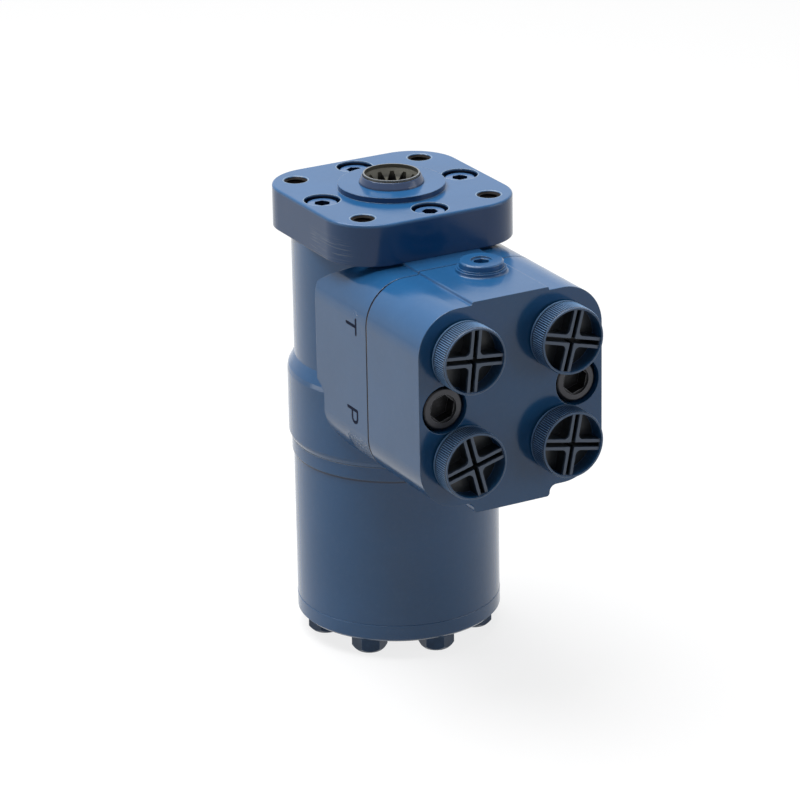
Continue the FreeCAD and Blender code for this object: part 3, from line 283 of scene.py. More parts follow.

# %% [markdown]
# ## Screws and bolts
#
# Oiled black oxide serves the block's two large socket screws. The bolts under
# the cover got some of the spray, so they are a blue black. The small screws in
# the flange were sprayed with it and get an enamel of their own further down:
# a lighter blue, which is painted light for heads that sit down in their bores,
# with painted shade in the socket and round the head.

# %% Screw finishes
def dark_steel(name, tone, shade, rough, worn=(0.20, 0.21, 0.23, 1)):
    """Make oiled dark steel with rubbed corners."""
    finish, tree, shader = material(name, Metallic=0.55)
    clouds = place(tree, clouding, {"Tone": tone, "Shade": shade, "Scale": 220.0,
                                    "Rough": rough, "Wander": 0.2})
    edges = place(tree, edge_mask, {"Radius": 0.35, "Amount": 0.7, "Broken": 0.8})
    colour = blend_colour(tree, edges.outputs["Mask"], clouds.outputs["Color"], worn)
    peel = place(tree, orange_peel, {"Size": 0.5, "Skin": 1.0, "Wave": 0.5})
    dress(tree, shader, colour, clouds, bump(tree, peel.outputs["Height"], 0.02))
    return finish, tree, shader, colour


black_oxide = dark_steel(
    "black_oxide", (0.030, 0.029, 0.030, 1), (0.012, 0.012, 0.014, 1), 0.38)[0]
blue_black = dark_steel(
    "blue_black_bolts", (0.010, 0.030, 0.068, 1), (0.006, 0.018, 0.042, 1), 0.34,
    (0.05, 0.095, 0.16, 1))[0]
print(black_oxide.name, blue_black.name)

# %% [markdown]
# ## Bare steel and the greased spline
#
# Inside, the valve is ground steel. At the top the spool's bore still holds the
# grease it was packed with: the spline's teeth are a light grey brown, and the
# spaces between them are darkened as painted shade. The distance from the shaft's
# axis tells a tooth from the space between teeth, so it drives the colour. Deeper
# down the bore is painted darker, also painted shade. The conical mouth above is
# dull olive, and the narrow rim on top is painted a bright grey.

# %% Ground steel
def ground_steel(name, tone, shade, rough):
    """Make ground steel with a clouded tone and a fine bumpy skin."""
    finish, tree, shader = material(name, Metallic=0.9)
    clouds = place(tree, clouding, {"Tone": tone, "Shade": shade, "Scale": 140.0,
                                    "Rough": rough, "Wander": 0.15})
    peel = place(tree, orange_peel, {"Size": 0.3, "Skin": 0.7, "Wave": 0.3})
    normal = bump(tree, peel.outputs["Height"], 0.01)
    dress(tree, shader, clouds.outputs["Color"], clouds, normal)
    return finish


steel = ground_steel("ground_steel", (0.46, 0.46, 0.47, 1), (0.34, 0.34, 0.35, 1), 0.28)
bright_steel = ground_steel("bright_steel", (0.62, 0.62, 0.63, 1), (0.5, 0.5, 0.51, 1), 0.2)
copper = ground_steel("copper", (0.55, 0.28, 0.16, 1), (0.42, 0.2, 0.11, 1), 0.35)


# %% Distance from an axis
def spread_from(tree, centre, along, twin=False):
    """Return the distance from a line through centre and the place along it, in millimetres.

    With twin, the line's mirror image on the other side of x = 0 counts as well.
    """
    where = add(tree, "ShaderNodeTexCoord").outputs["Object"]
    if twin:
        apart = add(tree, "ShaderNodeSeparateXYZ", {0: where})
        where = add(tree, "ShaderNodeCombineXYZ", {
            0: maths(tree, "ABSOLUTE", apart.outputs[0]), 1: apart.outputs[1],
            2: apart.outputs[2]}).outputs[0]
    moved = add(tree, "ShaderNodeVectorMath", {0: where, 1: [-v for v in centre]},
                operation="ADD").outputs[0]
    scaled = add(tree, "ShaderNodeVectorMath", {0: moved, "Scale": 1000.0},
                 operation="SCALE").outputs[0]
    parts = add(tree, "ShaderNodeSeparateXYZ", {0: scaled})
    across = [parts.outputs[i] for i in range(3) if i != along]
    squares = [maths(tree, "MULTIPLY", side, side) for side in across]
    distance = maths(tree, "SQRT", maths(tree, "ADD", squares[0], squares[1]))
    return distance, parts.outputs[along]


def between(tree, amount, low, high):
    """Return 0 below low, 1 above high, and a soft step between."""
    return add(tree, "ShaderNodeMapRange", {0: amount, 1: low, 2: high, 3: 0.0, 4: 1.0},
               interpolation_type="SMOOTHSTEP").outputs[0]


def ruler(tree):
    """Return the place in millimetres, as its three parts."""
    where = add(tree, "ShaderNodeTexCoord").outputs["Object"]
    scaled = add(tree, "ShaderNodeVectorMath", {0: where, "Scale": 1000.0}, operation="SCALE")
    return add(tree, "ShaderNodeSeparateXYZ", {0: scaled.outputs[0]}).outputs


def hole_distance(tree, centre):
    """Return the distance in millimetres from the nearest of the flange's four holes.

    The flange is folded along its two axes and its two diagonals, so one centre
    stands for all four.
    """
    parts = ruler(tree)
    sides = [maths(tree, "ABSOLUTE", parts[axis]) for axis in (0, 1)]
    far = maths(tree, "SUBTRACT", maths(tree, "MAXIMUM", *sides), centre[0])
    near = maths(tree, "SUBTRACT", maths(tree, "MINIMUM", *sides), centre[1])
    squares = [maths(tree, "MULTIPLY", leg, leg) for leg in (far, near)]
    return maths(tree, "SQRT", maths(tree, "ADD", *squares))


def both(tree, *masks):
    """Multiply masks: 1 only where all of them are."""
    result = masks[0]
    for mask in masks[1:]:
        result = maths(tree, "MULTIPLY", result, mask)
    return result


print("distances can be read")

# %% [markdown]
# ## Enamel with wear, painted shade and painted highlights
#
# Some pieces carry more than the plain coat. The flange's sides and its pilot's
# side are darker as painted shade, and something rubbed fine level lines into its
# left front corner. Its screw bores are darkened inside as painted shade, and the
# rims of all its holes get light rings as a painted highlight. The housing is a
# sand casting: low down on the port pad its skin is rough, which breaks the light
# there into crumbs, shown as bumps and as light specks of painted highlight, with
# more such specks just over the T; the paint is chipped where the seam comes over
# the top. Where two pieces meet, a thin line is lightened as painted highlight or
# darkened as painted shade.


# %% A window in space
def window(tree, low, high, soft=0.8):
    """Return 1 inside a box of millimetres from low to high, fading out over soft."""
    parts = ruler(tree)
    mask = 1.0
    for axis in range(3):
        rising = between(tree, parts[axis], low[axis] - soft, low[axis] + soft)
        falling = between(tree, parts[axis], high[axis] + soft, high[axis] - soft)
        mask = maths(tree, "MULTIPLY", maths(tree, "MULTIPLY", rising, falling), mask)
    return mask


def seam_line(tree, start, end):
    """Return 1 past the seam's edge, from start to end along y, below the block's top."""
    parts = ruler(tree)
    return both(tree, between(tree, parts[1], start, end),
                between(tree, parts[2], -19.4, -21.5))


# %% Flange enamel
# Colours of painted shade and painted highlight; only RUBBED_LINE is wear.
PAINTED_SIDE_SHADE = (0.004, 0.046, 0.145, 1)
PAINTED_PILOT_SHADE = (0.006, 0.030, 0.095, 1)
PAINTED_BORE_SHADE = (0.004, 0.011, 0.032, 1)
RUBBED_LINE = (0.16, 0.21, 0.28, 1)
PAINTED_RIM_HIGHLIGHT = (0.24, 0.34, 0.46, 1)
PAINTED_SEAM_SHADE = (0.003, 0.012, 0.040, 1)
SCREW_HOLE = (32.2, 0.0)
MOUNT_HOLE = (29.17, 29.17)
flange_enamel, tree, shader, colour = enamel("flange_enamel", gloss=0.36)
radial, height = spread_from(tree, (0, 0, 0), 2)
# Painted shade: the flange's sides below the top are darker.
side = between(tree, height, -0.9, -1.6)
colour = blend_colour(tree, maths(tree, "MULTIPLY", side, 0.85), colour, PAINTED_SIDE_SHADE)
# Painted shade on the pilot's side.
pilot = both(tree, between(tree, radial, 21.8, 22.0), between(tree, radial, 22.6, 22.4),
             between(tree, height, 0.1, 0.25), between(tree, height, 2.35, 2.15))
colour = blend_colour(tree, maths(tree, "MULTIPLY", pilot, 0.8), colour, PAINTED_PILOT_SHADE)
screw_bore = hole_distance(tree, SCREW_HOLE)
mount_bore = hole_distance(tree, MOUNT_HOLE)
# Painted shade inside the screw counterbores, below their top.
below = between(tree, height, -0.55, -0.85)
painted_bore_shade_mask = both(tree, below, between(tree, screw_bore, 7.8, 7.6))
colour = blend_colour(tree, painted_bore_shade_mask, colour, PAINTED_BORE_SHADE)
# Painted highlight: light rings on the rims of the screw and mounting holes.
near_top = between(tree, height, -0.5, -0.3)
painted_rim_highlight_mask = maths(tree, "ADD", both(tree, near_top, between(tree, screw_bore, 8.0, 7.8)),
              both(tree, near_top, between(tree, mount_bore, 4.95, 5.05),
                   between(tree, mount_bore, 5.6, 5.4)), clamp=True)
where = add(tree, "ShaderNodeTexCoord").outputs["Object"]
level = add(tree, "ShaderNodeMapping", {"Vector": where, "Scale": (60.0, 60.0, 2600.0)})
lines = add(tree, "ShaderNodeTexNoise", {"Vector": level.outputs[0], "Scale": 1.0, "Detail": 3.0})
rubbed = window(tree, (-43.0, -34.0, -16.8), (-37.0, -8.0, -8.0), 3.0)
lines = maths(tree, "MULTIPLY", between(tree, lines.outputs["Fac"], 0.50, 0.64), rubbed)
colour = blend_colour(tree, maths(tree, "MULTIPLY", lines, 0.6), colour, RUBBED_LINE)
# Painted highlight on the hole rims.
colour = blend_colour(tree, maths(tree, "MULTIPLY", painted_rim_highlight_mask, 0.6), colour, PAINTED_RIM_HIGHLIGHT)
tree.links.new(colour, shader.inputs["Base Color"])
print(flange_enamel.name)

# %% Enamel on the small screws and the dust seal
# A lighter blue than the flange: painted light for heads that sit down in the counterbores.
screw_enamel_painted_light, tree, shader, colour = enamel(
    "screw_enamel_painted_light", (0.062, 0.152, 0.320, 1), (0.050, 0.128, 0.285, 1), 0.3)
head = hole_distance(tree, SCREW_HOLE)
_, height = spread_from(tree, (0, 0, 0), 2)
# Painted shade in the hex socket and in the ring round the head.
socket = both(tree, between(tree, head, 3.7, 3.6), between(tree, height, -1.4, -1.6))
painted_socket_shade = maths(tree, "ADD", socket, between(tree, head, 5.95, 6.2), clamp=True)
colour = blend_colour(tree, painted_socket_shade, colour, (0.004, 0.011, 0.030, 1))
tree.links.new(colour, shader.inputs["Base Color"])
seal_enamel = enamel("seal_enamel", (0.023, 0.056, 0.138, 1), (0.016, 0.042, 0.110, 1), 0.3)[0]
print(screw_enamel_painted_light.name, seal_enamel.name)

# %% Socket screws of the block
socket_screw, tree, shader, colour = dark_steel(
    "socket_screw", (0.016, 0.016, 0.018, 1), (0.008, 0.008, 0.010, 1), 0.38)
radial, _ = spread_from(tree, (SCREW_X, 0, SCREW_Z), 1, twin=True)
ring = maths(tree, "MULTIPLY", between(tree, radial, 5.7, 6.2), between(tree, radial, 8.3, 7.8))
colour = blend_colour(tree, maths(tree, "MULTIPLY", ring, 0.8), colour, (0.068, 0.069, 0.078, 1))
tree.links.new(colour, shader.inputs["Base Color"])
print(socket_screw.name)

# %% Housing enamel
housing_enamel, tree, shader, colour = enamel("housing_enamel")
where = add(tree, "ShaderNodeTexCoord").outputs["Object"]
crumbs = add(tree, "ShaderNodeTexNoise", {"Vector": where, "Scale": 900.0, "Detail": 4.0})
rough_skin = window(tree, (-43.0, -53.0, -97.5), (-30.0, -36.5, -87.0), 1.5)
rough = maths(tree, "MULTIPLY", crumbs.outputs["Fac"], rough_skin)
smooth = shader.inputs["Normal"].links[0].from_socket
tree.links.new(bump(tree, rough, 0.5, smooth), shader.inputs["Normal"])
# Light specks: on the rough skin and over the T they are a painted highlight; at the seam's top
# they are chipped paint.
over_t = window(tree, (-43.0, -46.6, -34.6), (-40.0, -43.0, -32.6), 0.5)
chipped = window(tree, (-38.5, -55.0, -26.0), (-25.0, -53.4, -18.0), 0.5)
pale = maths(tree, "ADD", rough_skin, maths(tree, "ADD", over_t, chipped), clamp=True)
pale = both(tree, pale, between(tree, crumbs.outputs["Fac"], 0.53, 0.62))
# Painted shade in the seam's groove, fading out over the top.
colour = blend_colour(tree, seam_line(tree, -53.2, -53.35), colour, PAINTED_SEAM_SHADE)
# Light specks of painted highlight and chipped paint.
colour = blend_colour(tree, maths(tree, "MULTIPLY", pale, 0.7), colour, (0.30, 0.38, 0.50, 1))
tree.links.new(colour, shader.inputs["Base Color"])
print(housing_enamel.name)

# %% Block enamel
block_enamel, tree, shader, colour = enamel("block_enamel")
# Painted shade in the seam's groove.
colour = blend_colour(tree, seam_line(tree, -54.5, -54.35), colour, PAINTED_SEAM_SHADE)
tree.links.new(colour, shader.inputs["Base Color"])
print(block_enamel.name)

# %% Painted highlight and painted shade where the plate meets its neighbours
plate_enamel, tree, shader, colour = enamel("plate_enamel")
_, height = spread_from(tree, (0, 0, 0), 2)
# Painted highlight along the plate's top edge.
painted_top_edge_highlight = between(tree, height, -107.25, -107.0)
colour = blend_colour(tree, maths(tree, "MULTIPLY", painted_top_edge_highlight, 0.8), colour, (0.17, 0.24, 0.34, 1))
tree.links.new(colour, shader.inputs["Base Color"])
ring_enamel, tree, shader, colour = enamel("ring_enamel")
_, height = spread_from(tree, (0, 0, 0), 2)
# Painted shadow on the ring just under the plate's overhang.
painted_shadow_under_plate = between(tree, height, -114.1, -113.7)
colour = blend_colour(tree, maths(tree, "MULTIPLY", painted_shadow_under_plate, 0.85), colour,
                      (0.004, 0.020, 0.060, 1))
tree.links.new(colour, shader.inputs["Base Color"])
print(plate_enamel.name, ring_enamel.name)

# %% Greased spline on the spool
spline_steel, tree, shader = material("greased_spline", Metallic=0.35)
radial, height = spread_from(tree, (0, 0, 0), 2)
clouds = place(tree, clouding, {"Tone": (0.22, 0.215, 0.18, 1), "Shade": (0.15, 0.145, 0.12, 1),
                                "Scale": 260.0, "Rough": 0.42, "Wander": 0.3})
# Painted shade in the spaces between the teeth.
painted_gap_shade = between(tree, radial, 8.8, 9.6)
colour = blend_colour(tree, painted_gap_shade, clouds.outputs["Color"], (0.016, 0.016, 0.017, 1))
mouth = between(tree, height, 0.6, 3.4)
colour = blend_colour(tree, mouth, colour, (0.100, 0.098, 0.082, 1))
# Painted shade deeper down the bore.
colour = blend_colour(tree, between(tree, height, -11.5, -13.5), colour, (0.030, 0.029, 0.026, 1))
rim = maths(tree, "MULTIPLY", between(tree, height, 6.1, 6.3), between(tree, radial, 11.1, 11.25))
colour = blend_colour(tree, rim, colour, (0.21, 0.225, 0.24, 1))
peel = place(tree, orange_peel, {"Size": 0.8, "Skin": 1.2, "Wave": 1.0})
dress(tree, shader, colour, clouds, bump(tree, peel.outputs["Height"], 0.05))
print(spline_steel.name)

# %% [markdown]
# ## Port caps
#
# The caps are black plastic plugs that were in place when the unit was sprayed.
# So the knurled wall and the rim are blue, the edges of the cross are greyed by
# a thin mist, and the deep pockets stay black. How far a point lies behind the
# rim decides how much spray it caught, and noise makes the border ragged.
# Outside, painted shade darkens the grooves between the ribs and a painted
# highlight lightens their crests. The rim carries painted highlight lines with
# painted shade on its flat between them, and the cross's paler edges are partly
# mist and partly a painted highlight.

# %% Cap finish
def sprayed_plastic(name, centre):
    """Make black plastic with overspray, painted shade and painted highlights, for a cap on this
    centre.
    """
    finish, tree, shader = material(name, Metallic=0.0)
    radial, depth = spread_from(tree, (centre[0], PORT_FACE - 10.6 * MM, centre[1]), 1)
    where = add(tree, "ShaderNodeTexCoord").outputs["Object"]
    ragged = add(tree, "ShaderNodeTexNoise", {"Vector": where, "Scale": 330.0, "Detail": 4.0})
    shift = maths(tree, "MULTIPLY", maths(tree, "SUBTRACT", ragged.outputs["Fac"], 0.5), 2.4)
    inside = between(tree, radial, 13.03, 12.8)
    behind = between(tree, maths(tree, "ADD", depth, shift), 0.9, 2.4)
    black = maths(tree, "MULTIPLY", inside, behind)
    clouds = place(tree, clouding, {"Tone": BLUE, "Shade": (0.022, 0.07, 0.17, 1), "Scale": 120.0,
                                    "Rough": 0.34, "Wander": 0.2})
    edges = place(tree, edge_mask, {"Radius": 0.3, "Amount": 0.6, "Broken": 0.6})
    colour = blend_colour(tree, inside, clouds.outputs["Color"], (0.085, 0.12, 0.18, 1))
    colour = blend_colour(tree, black, colour, (0.009, 0.013, 0.018, 1))
    # Painted shade in the grooves between the ribs and a painted highlight on their crests.
    wall = both(tree, between(tree, depth, 0.3, 0.45), between(tree, radial, 13.4, 13.6))
    groove = both(tree, wall, between(tree, radial, 13.94, 13.84))
    colour = blend_colour(tree, groove, colour, (0.002, 0.008, 0.026, 1))
    ridge = both(tree, wall, between(tree, radial, 13.94, 14.02))
    colour = blend_colour(tree, maths(tree, "MULTIPLY", ridge, 0.9), colour, (0.13, 0.24, 0.40, 1))
    # Painted highlight on the rim, and painted shade on its flat between the highlight lines.
    rim = both(tree, between(tree, radial, 12.95, 13.1), between(tree, depth, 0.3, 0.1))
    colour = blend_colour(tree, maths(tree, "MULTIPLY", rim, 0.6), colour, (0.13, 0.21, 0.34, 1))
    painted_shade_rim_flat = both(tree, rim, between(tree, radial, 13.1, 13.2),
                     between(tree, radial, 13.5, 13.4))
    colour = blend_colour(tree, maths(tree, "MULTIPLY", painted_shade_rim_flat, 0.7), colour,
                          (0.012, 0.04, 0.10, 1))
    # Paler edges, strongest outside the rim: partly rubbing and mist, partly a painted highlight.
    rubbed = maths(tree, "SUBTRACT", 0.7, maths(tree, "MULTIPLY", inside, 0.5))
    colour = blend_colour(tree, maths(tree, "MULTIPLY", edges.outputs["Mask"], rubbed), colour,
                          (0.20, 0.27, 0.36, 1))
    peel = place(tree, orange_peel, {"Size": 0.6, "Skin": 1.0, "Wave": 0.6})
    dress(tree, shader, colour, clouds, bump(tree, peel.outputs["Height"], 0.02))
    return finish


cap_finish = {port: sprayed_plastic("cap_plastic_" + port, centre)
              for port, centre in CAPS.items()}
print(sorted(cap_finish))

# %% Rubber
rubber, tree, shader = material("nitrile_rubber", Metallic=0.0)
clouds = place(tree, clouding, {
    "Tone": (0.022, 0.022, 0.023, 1), "Shade": (0.012, 0.012, 0.013, 1),
    "Scale": 200.0, "Rough": 0.6, "Wander": 0.15})
peel = place(tree, orange_peel, {"Size": 0.4, "Skin": 1.0, "Wave": 0.4})
dress(tree, shader, clouds.outputs["Color"], clouds, bump(tree, peel.outputs["Height"], 0.02))
print(rubber.name)

# %% [markdown]
# ## Finishes on the CAD pieces
#
# Each piece takes the finish of its material slot, unless it has one of its own.
# The dust seal, the relief plug and the small screws were sprayed with the rest.

# %% Hand out the finishes
SLOT_FINISH = {
    "blue_enamel": blue_enamel,
    "black_screw_steel": black_oxide,
    "painted_bolt_steel": blue_black,
    "seal_rubber": rubber,
    "bearing_steel": bright_steel,
    "shaft_steel": steel,
    "washer_copper": copper,
}
NODE_FINISH = {
    "mounting_flange": flange_enamel,
    "housing": housing_enamel,
    "valve_block": block_enamel,
    "distributor_plate": plate_enamel,
    "gear_ring": ring_enamel,
    "dust_seal": seal_enamel,
    "relief_plug": blue_enamel,
    "relief_washer": blue_enamel,
    "flange_screws": screw_enamel_painted_light,
    "block_screws": socket_screw,
    "valve_spool": spline_steel,
}
NODE_FINISH |= {"cap_" + port: finish for port, finish in cap_finish.items()}
slots = {item["node"]: item["material_slot"] for item in frame["record"]["subparts"]}
for name, piece in nodes.items():
    finish = NODE_FINISH.get(name) or SLOT_FINISH[slots[name]]
    piece.data.materials.clear()
    piece.data.materials.append(finish)
print("finishes on", len(nodes), "pieces")

# %% [markdown]
# ## Surfaces from numpy
#
# Every new piece is a closed surface over a grid of two parameters. One helper
# joins the grid's points into quads and closes it where it comes round. Another
# hands points and faces to Blender and lets the piece ride on its body.


# %% Grid to mesh
def hang(name, points, faces, body, finish):
    """Make a piece from points and faces, let it ride on a body and give it a slot."""
    mesh = bpy.data.meshes.new(name)
    mesh.from_pydata(points.reshape(-1, 3), [], faces)
    mesh.update()
    mesh.materials.append(finish)
    piece = bpy.data.objects.new(name, mesh)
    bpy.context.scene.collection.objects.link(piece)
    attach(piece, body)
    print(name, len(mesh.polygons), "faces")
    return piece


def surface(name, points, body, finish):
    """Make a closed tube from points[i, j]: both i and j run round and meet their start."""
    rows, columns = points.shape[:2]
    index = np.arange(rows * columns).reshape(rows, columns)
    below = np.roll(index, -1, axis=0)
    quads = np.stack([index, np.roll(index, -1, axis=1),
                      np.roll(below, -1, axis=1), below], axis=-1)
    return hang(name, points, quads.reshape(-1, 4).tolist(), body, finish)


# %% [markdown]
# ## Dust seal
#
# The seal around the shaft is a soft cone: its wall rises straight out of the
# pilot, leans in to the spool and ends in a rounded lip. It is one outline of
# radius and height turned round the shaft, fine enough to look round up close.

# %% Turned dust seal
CORNER = math.radians(50)
SEAL_OUTLINE = np.array([
    (11.82, -3.9), (13.36, -3.9), (13.36, 2.9), (13.30, 3.15), (13.18, 3.38),
    (12.42, 5.12), (12.28, 5.36), (12.10, 5.48), (11.92, 5.46), (11.82, 5.3)])


def turned_ring(name, outline, body, finish, steps=144):
    """p(a, i) = (r_i cos a, r_i sin a, h_i): an outline of (r, h) turned round the shaft."""
    angle = np.linspace(0, 2 * np.pi, steps, endpoint=False)[:, None]
    radius, height = outline[:, 0], outline[:, 1]
    points = np.stack([
        radius * np.cos(angle), radius * np.sin(angle),
        np.broadcast_to(height, (steps, len(outline)))], axis=-1) * MM
    piece = surface(name, points[::-1], body, finish)
    piece.data.shade_smooth()
    piece.data.set_sharp_from_angle(angle=CORNER)
    return piece


seal = turned_ring("dust_seal_lip", SEAL_OUTLINE, "unit", seal_enamel)
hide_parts("dust_seal")

# %% [markdown]
# ## Paint under the collar
#
# Below the collar the casting tapers in to the plate. The paint ran into that
# corner and filled part of it, so only a fine line shows there. A second turned
# outline lies over the taper and meets the plate's top.

# %% Bead of paint
BEAD_OUTLINE = np.array([
    (42.6, -106.78), (43.55, -106.78), (43.72, -106.5), (44.3, -105.2), (44.72, -104.25),
    (44.6, -103.9), (44.2, -103.9)])
turned_ring("collar_bead", BEAD_OUTLINE, "unit", housing_enamel)

# %% [markdown]
# ## Knurling on the caps
#
# A fitter turns the caps by hand, so their wall has 96 fine ribs. The ring is
# a profile turned round the cap's axis, whose outer radius swings with the
# angle: r = R + h ((1 + cos(96 a)) / 2) to the power 1.3.

# %% Knurled rings
RIBS = 96
RIB_POINTS = 10
KNURL = {"inner": 13.6, "outer": 13.76, "rib": 0.4, "power": 1.3,
         "low": 2.3, "foot": 0.4, "high": 10.2, "head": 0.5}


def knurled_ring(port):
    """r(a, v) = R(v) + h s(v) ((1 + cos(RIBS a)) / 2)^power, where s is 1 on the ribs."""
    x, z = CAPS[port]
    angle = np.linspace(0, 2 * np.pi, RIBS * RIB_POINTS, endpoint=False)[:, None]
    rib = KNURL["rib"] * (0.5 + 0.5 * np.cos(RIBS * angle)) ** KNURL["power"]
    radius = np.array([KNURL["inner"], KNURL["outer"], KNURL["outer"], KNURL["outer"],
                       KNURL["outer"], KNURL["inner"]])
    share = np.array([0.0, 0.0, 1.0, 1.0, 0.0, 0.0])
    reach = np.array([KNURL["low"], KNURL["low"], KNURL["low"] + KNURL["foot"],
                      KNURL["high"] - KNURL["head"], KNURL["high"], KNURL["high"]])
    r = radius + rib * share
    points = np.stack([
        x + r * np.cos(angle) * MM,
        PORT_FACE - np.broadcast_to(reach, r.shape) * MM,
        z + r * np.sin(angle) * MM], axis=-1)
    return surface("knurl_" + port, points[::-1], port + "_cap", cap_finish[port])


for port in CAPS:
    knurled_ring(port)

# %% [markdown]
# ## Threads in the mounting holes
#
# The four corner holes are tapped for the column's screws, and their threads
# show just inside the mouth. A thread is a helix: the wall's radius depends on
# the height less the pitch times the turn. The liner is dark and barely glossy,
# as oiled iron and as painted shade inside the hole, and its edges are lighter as
# a painted highlight. It ends in a dark lip that lies on the lower part of the
# mouth's bevel: a sheet of painted shade.

# %% Thread liners
THREAD = {"pitch": 1.5, "root": 4.2, "crest": 3.86, "low": -17.3, "high": -1.0,
          "steps": 48, "levels": 100}
# The last points form the lip, a dark sheet of painted shade over the bevel.
LINER_BACK_AND_SHADE_LIP = np.array([
    (4.19, -0.92), (4.81, -0.30), (4.92, -0.34), (4.36, -0.95), (4.24, -1.1), (4.24, -17.3)])
# Dark, barely glossy bore: oiled iron and painted shade.
oily_bore_painted_shade, tree, shader = material("oily_bore_painted_shade", Metallic=0.0, Specular_IOR_Level=0.08)
clouds = place(tree, clouding, {
    "Tone": (0.016, 0.013, 0.012, 1), "Shade": (0.007, 0.006, 0.006, 1),
    "Scale": 260.0, "Rough": 0.5, "Wander": 0.2})
# Lighter edges: a painted highlight on the thread crests and the lip.
edges = place(tree, edge_mask, {"Radius": 0.2, "Amount": 0.6, "Broken": 0.6})
colour = blend_colour(tree, edges.outputs["Mask"], clouds.outputs["Color"],
                      (0.05, 0.046, 0.042, 1))
dress(tree, shader, colour, clouds)


def thread(name, x, y):
    """r(a, h) = root - depth |2 f - 1|, f the fraction of (h - pitch a / 2 pi) / pitch."""
    angle = np.linspace(0, 2 * np.pi, THREAD["steps"], endpoint=False)[:, None]
    inner = np.linspace(THREAD["low"], THREAD["high"], THREAD["levels"])
    phase = (inner - THREAD["pitch"] * angle / (2 * np.pi)) / THREAD["pitch"] % 1.0
    depth = THREAD["root"] - THREAD["crest"]
    r_inner = THREAD["root"] - depth * np.abs(2 * phase - 1)
    height = np.concatenate([inner, LINER_BACK_AND_SHADE_LIP[:, 1]])
    back = np.broadcast_to(LINER_BACK_AND_SHADE_LIP[:, 0], (len(angle), len(LINER_BACK_AND_SHADE_LIP)))
    r = np.concatenate([r_inner, back], axis=1)
    points = np.stack([
        x + r * np.cos(angle) * MM,
        y + r * np.sin(angle) * MM,
        np.broadcast_to(height, r.shape) * MM], axis=-1)
    return surface(name, points[::-1], "unit", oily_bore_painted_shade)


for i, (side_x, side_y) in enumerate([(1, 1), (-1, 1), (-1, -1), (1, -1)]):
    thread(f"mount_thread_{i}", side_x * MOUNT_HOLE[0] * MM, side_y * MOUNT_HOLE[1] * MM)

# %% [markdown]
# ## Stamped marks
#
# The tank and pressure ports are marked T and P on the housing's side. The
# strokes are narrow grooves, drawn dark and barely glossy as painted shade. Each
# is a flat ribbon: a thin oval carried along the stroke's line, just proud of the
# paint so that it shows.

# %% Mark strokes
SIDE = -41.8 * MM
STROKE = {"half": 0.70, "proud": 0.03}
# Painted shade for the strokes' grooves.
painted_mark_shade, tree, shader = material("stamped_groove", Metallic=0.0, Specular_IOR_Level=0.05)
clouds = place(tree, clouding, {
    "Tone": (0.006, 0.016, 0.045, 1), "Shade": (0.004, 0.010, 0.030, 1),
    "Scale": 300.0, "Rough": 0.6, "Wander": 0.2})
dress(tree, shader, clouds.outputs["Color"], clouds)


def stroke(name, line):
    """Carry a thin oval along a line of (y, z) places in millimetres, with round ends."""
    line = np.array(line, float)
    run = np.gradient(line, axis=0)
    run /= np.linalg.norm(run, axis=1)[:, None]
    side = np.stack([-run[:, 1], run[:, 0]], axis=-1)
    ends = np.array([-1.0, -0.7, 0.0])
    first = line[0] + STROKE["half"] * ends[:, None] * run[0]
    last = line[-1] - STROKE["half"] * ends[::-1][:, None] * run[-1]
    path = np.concatenate([first, line[1:-1], last])
    sides = np.concatenate([np.repeat(side[:1], 3, 0), side[1:-1], np.repeat(side[-1:], 3, 0)])
    width = np.concatenate([[0.02, 0.7, 1.0], np.ones(len(line) - 2), [1.0, 0.7, 0.02]])
    turn = np.linspace(0, 2 * np.pi, 12, endpoint=False)
    across = STROKE["half"] * width[:, None] * np.cos(turn)
    flat = path[:, None, :] + sides[:, None, :] * across[..., None]
    lift = SIDE / MM - STROKE["proud"] * np.sin(turn) * width[:, None]
    points = np.concatenate([lift[..., None], flat], axis=-1) * MM
    return ribbon(name, points)


def ribbon(name, points):
    """Join rings of points into a closed ribbon with a fan at each end."""
    rings, count = points.shape[:2]
    index = np.arange(rings * count).reshape(rings, count)
    quads = np.stack([index[:-1], index[1:], np.roll(index[1:], -1, axis=1),
                      np.roll(index[:-1], -1, axis=1)], axis=-1).reshape(-1, 4).tolist()
    caps = [index[0].tolist(), index[-1][::-1].tolist()]
    return hang(name, points, quads + caps, "unit", painted_mark_shade)


stroke("mark_t_bar", [(-45.0, z) for z in np.linspace(-36.2, -42.5, 6)])
stroke("mark_t_stem", [(y, -39.3) for y in np.linspace(-44.6, -37.2, 6)])
stroke("mark_p_stem", [(y, -75.6) for y in np.linspace(-44.9, -36.9, 6)])
bowl = np.linspace(0, np.pi, 14)
bowl_line = [(-44.9, -76.0)]
bowl_line += [(-42.75 - 2.15 * math.cos(a), -78.9 - 2.0 * math.sin(a)) for a in bowl]
bowl_line += [(-40.6, -76.0)]
stroke("mark_p_bowl", bowl_line)

# %% [markdown]
# ## Floor, light and camera
#
# The photograph is a product shot on white: one large soft light above, a weak
# one in front on the right, and a breath of light low on the left. The floor
# keeps only a faint shadow. White comes from what the camera sees and what gloss
# mirrors, not from strong lamps.

# %% Rays that look straight at the room
def direct_rays(tree):
    """Return 1 for rays from the camera, off a gloss or through a clear thing, else 0."""
    path = add(tree, "ShaderNodeLightPath").outputs
    either = maths(tree, "ADD", path["Is Camera Ray"], path["Is Glossy Ray"])
    return maths(tree, "ADD", either, path["Is Transmission Ray"], clamp=True)


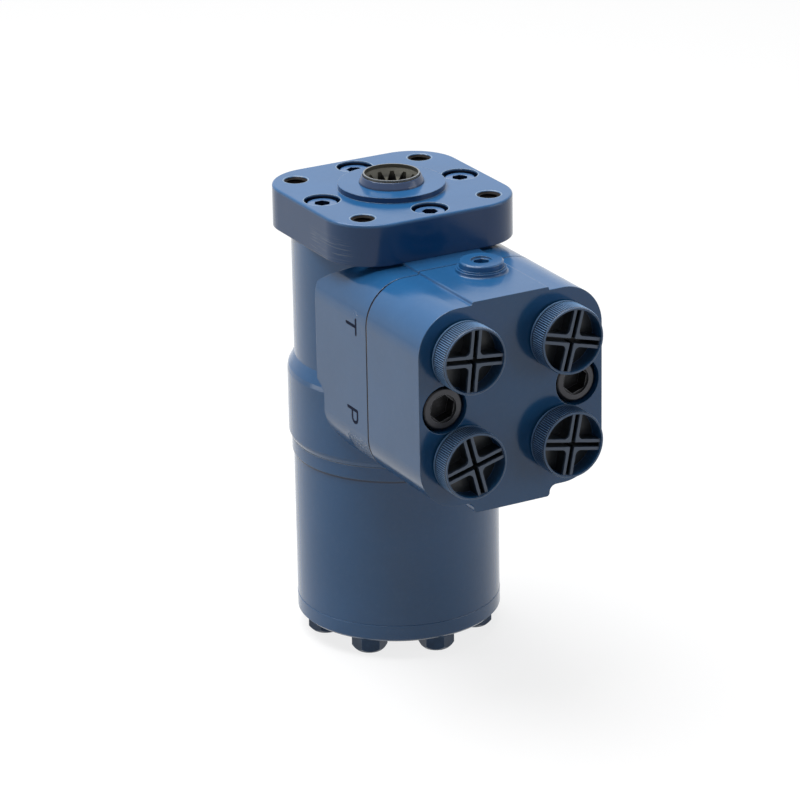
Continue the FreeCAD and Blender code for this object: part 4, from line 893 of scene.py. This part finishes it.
# %% Floor
FLOOR_TONE = (0.22, 0.221, 0.223, 1)
FLOOR_GLOW = 0.8
bpy.ops.mesh.primitive_plane_add(size=6, location=(0, 0, FLOOR))
floor = bpy.context.object
floor.name = "floor"
finish, tree, shader = material("floor_white", Roughness=0.9, Metallic=0.0)
shader.inputs["Base Color"].default_value = FLOOR_TONE
shader.inputs["Specular IOR Level"].default_value = 0.0
shader.inputs["Emission Color"].default_value = (1, 1, 1, 1)
glow = maths(tree, "MULTIPLY", direct_rays(tree), FLOOR_GLOW)
tree.links.new(glow, shader.inputs["Emission Strength"])
floor.data.materials.append(finish)

# %% World
AMBIENT = 0.145
world = bpy.data.worlds.new("studio")
bpy.context.scene.world = world
world.use_nodes = True
tree = world.node_tree
back = tree.nodes["Background"]
back.inputs["Color"].default_value = (1, 1, 1, 1)
seen = add(tree, "ShaderNodeMix", {0: direct_rays(tree), 2: AMBIENT, 3: 1.0})
tree.links.new(seen.outputs[0], back.inputs["Strength"])


# %% Lamps
def softbox(name, size, spot, aim, power):
    """Hang a rectangular area lamp at a spot and point it at a place."""
    lamp = bpy.data.lights.new(name, "AREA")
    lamp.shape = "RECTANGLE"
    lamp.size, lamp.size_y = size
    lamp.energy = power
    holder = bpy.data.objects.new(name, lamp)
    bpy.context.scene.collection.objects.link(holder)
    holder.location = spot
    direction = Vector(aim) - Vector(spot)
    holder.rotation_euler = direction.to_track_quat("-Z", "Y").to_euler()
    return holder


softbox("top_box", (1.2, 1.2), (-0.2, 0.3, 1.2), (0, 0, -0.1), 28)
softbox("right_box", (0.9, 0.9), (1.1, -0.9, 0.1), (0, 0, -0.1), 4.2)
softbox("low_box", (0.9, 0.3), (-1.0, 0.2, -0.155), (0, 0, -0.14), 2.3)
print("lamps hung")

# %% [markdown]
# The camera's place, aim and lens were worked out from the photograph, by
# matching known points of the flange, the ports and the cover to its pixels.

# %% Camera
AIM = Vector((0, 0, -0.095))
BACK = Vector((-0.4433, -0.8210, 0.3598)).normalized()
UP = Vector((0.1870, 0.3080, 0.9329))
DISTANCE = 1.7108
LENS = 183.94
SHIFT = (0.0056, 0.0037)
view = bpy.data.cameras.new("camera")
view.lens = LENS
view.sensor_width = 36
view.shift_x, view.shift_y = SHIFT
view.clip_start = 0.05
camera = bpy.data.objects.new("camera", view)
bpy.context.scene.collection.objects.link(camera)
right = UP.cross(BACK).normalized()
up = BACK.cross(right)
camera.matrix_world = Matrix((
    (right.x, up.x, BACK.x, AIM.x + BACK.x * DISTANCE),
    (right.y, up.y, BACK.y, AIM.y + BACK.y * DISTANCE),
    (right.z, up.z, BACK.z, AIM.z + BACK.z * DISTANCE),
    (0, 0, 0, 1)))
bpy.context.scene.camera = camera
bpy.context.scene.view_settings.view_transform = "Standard"
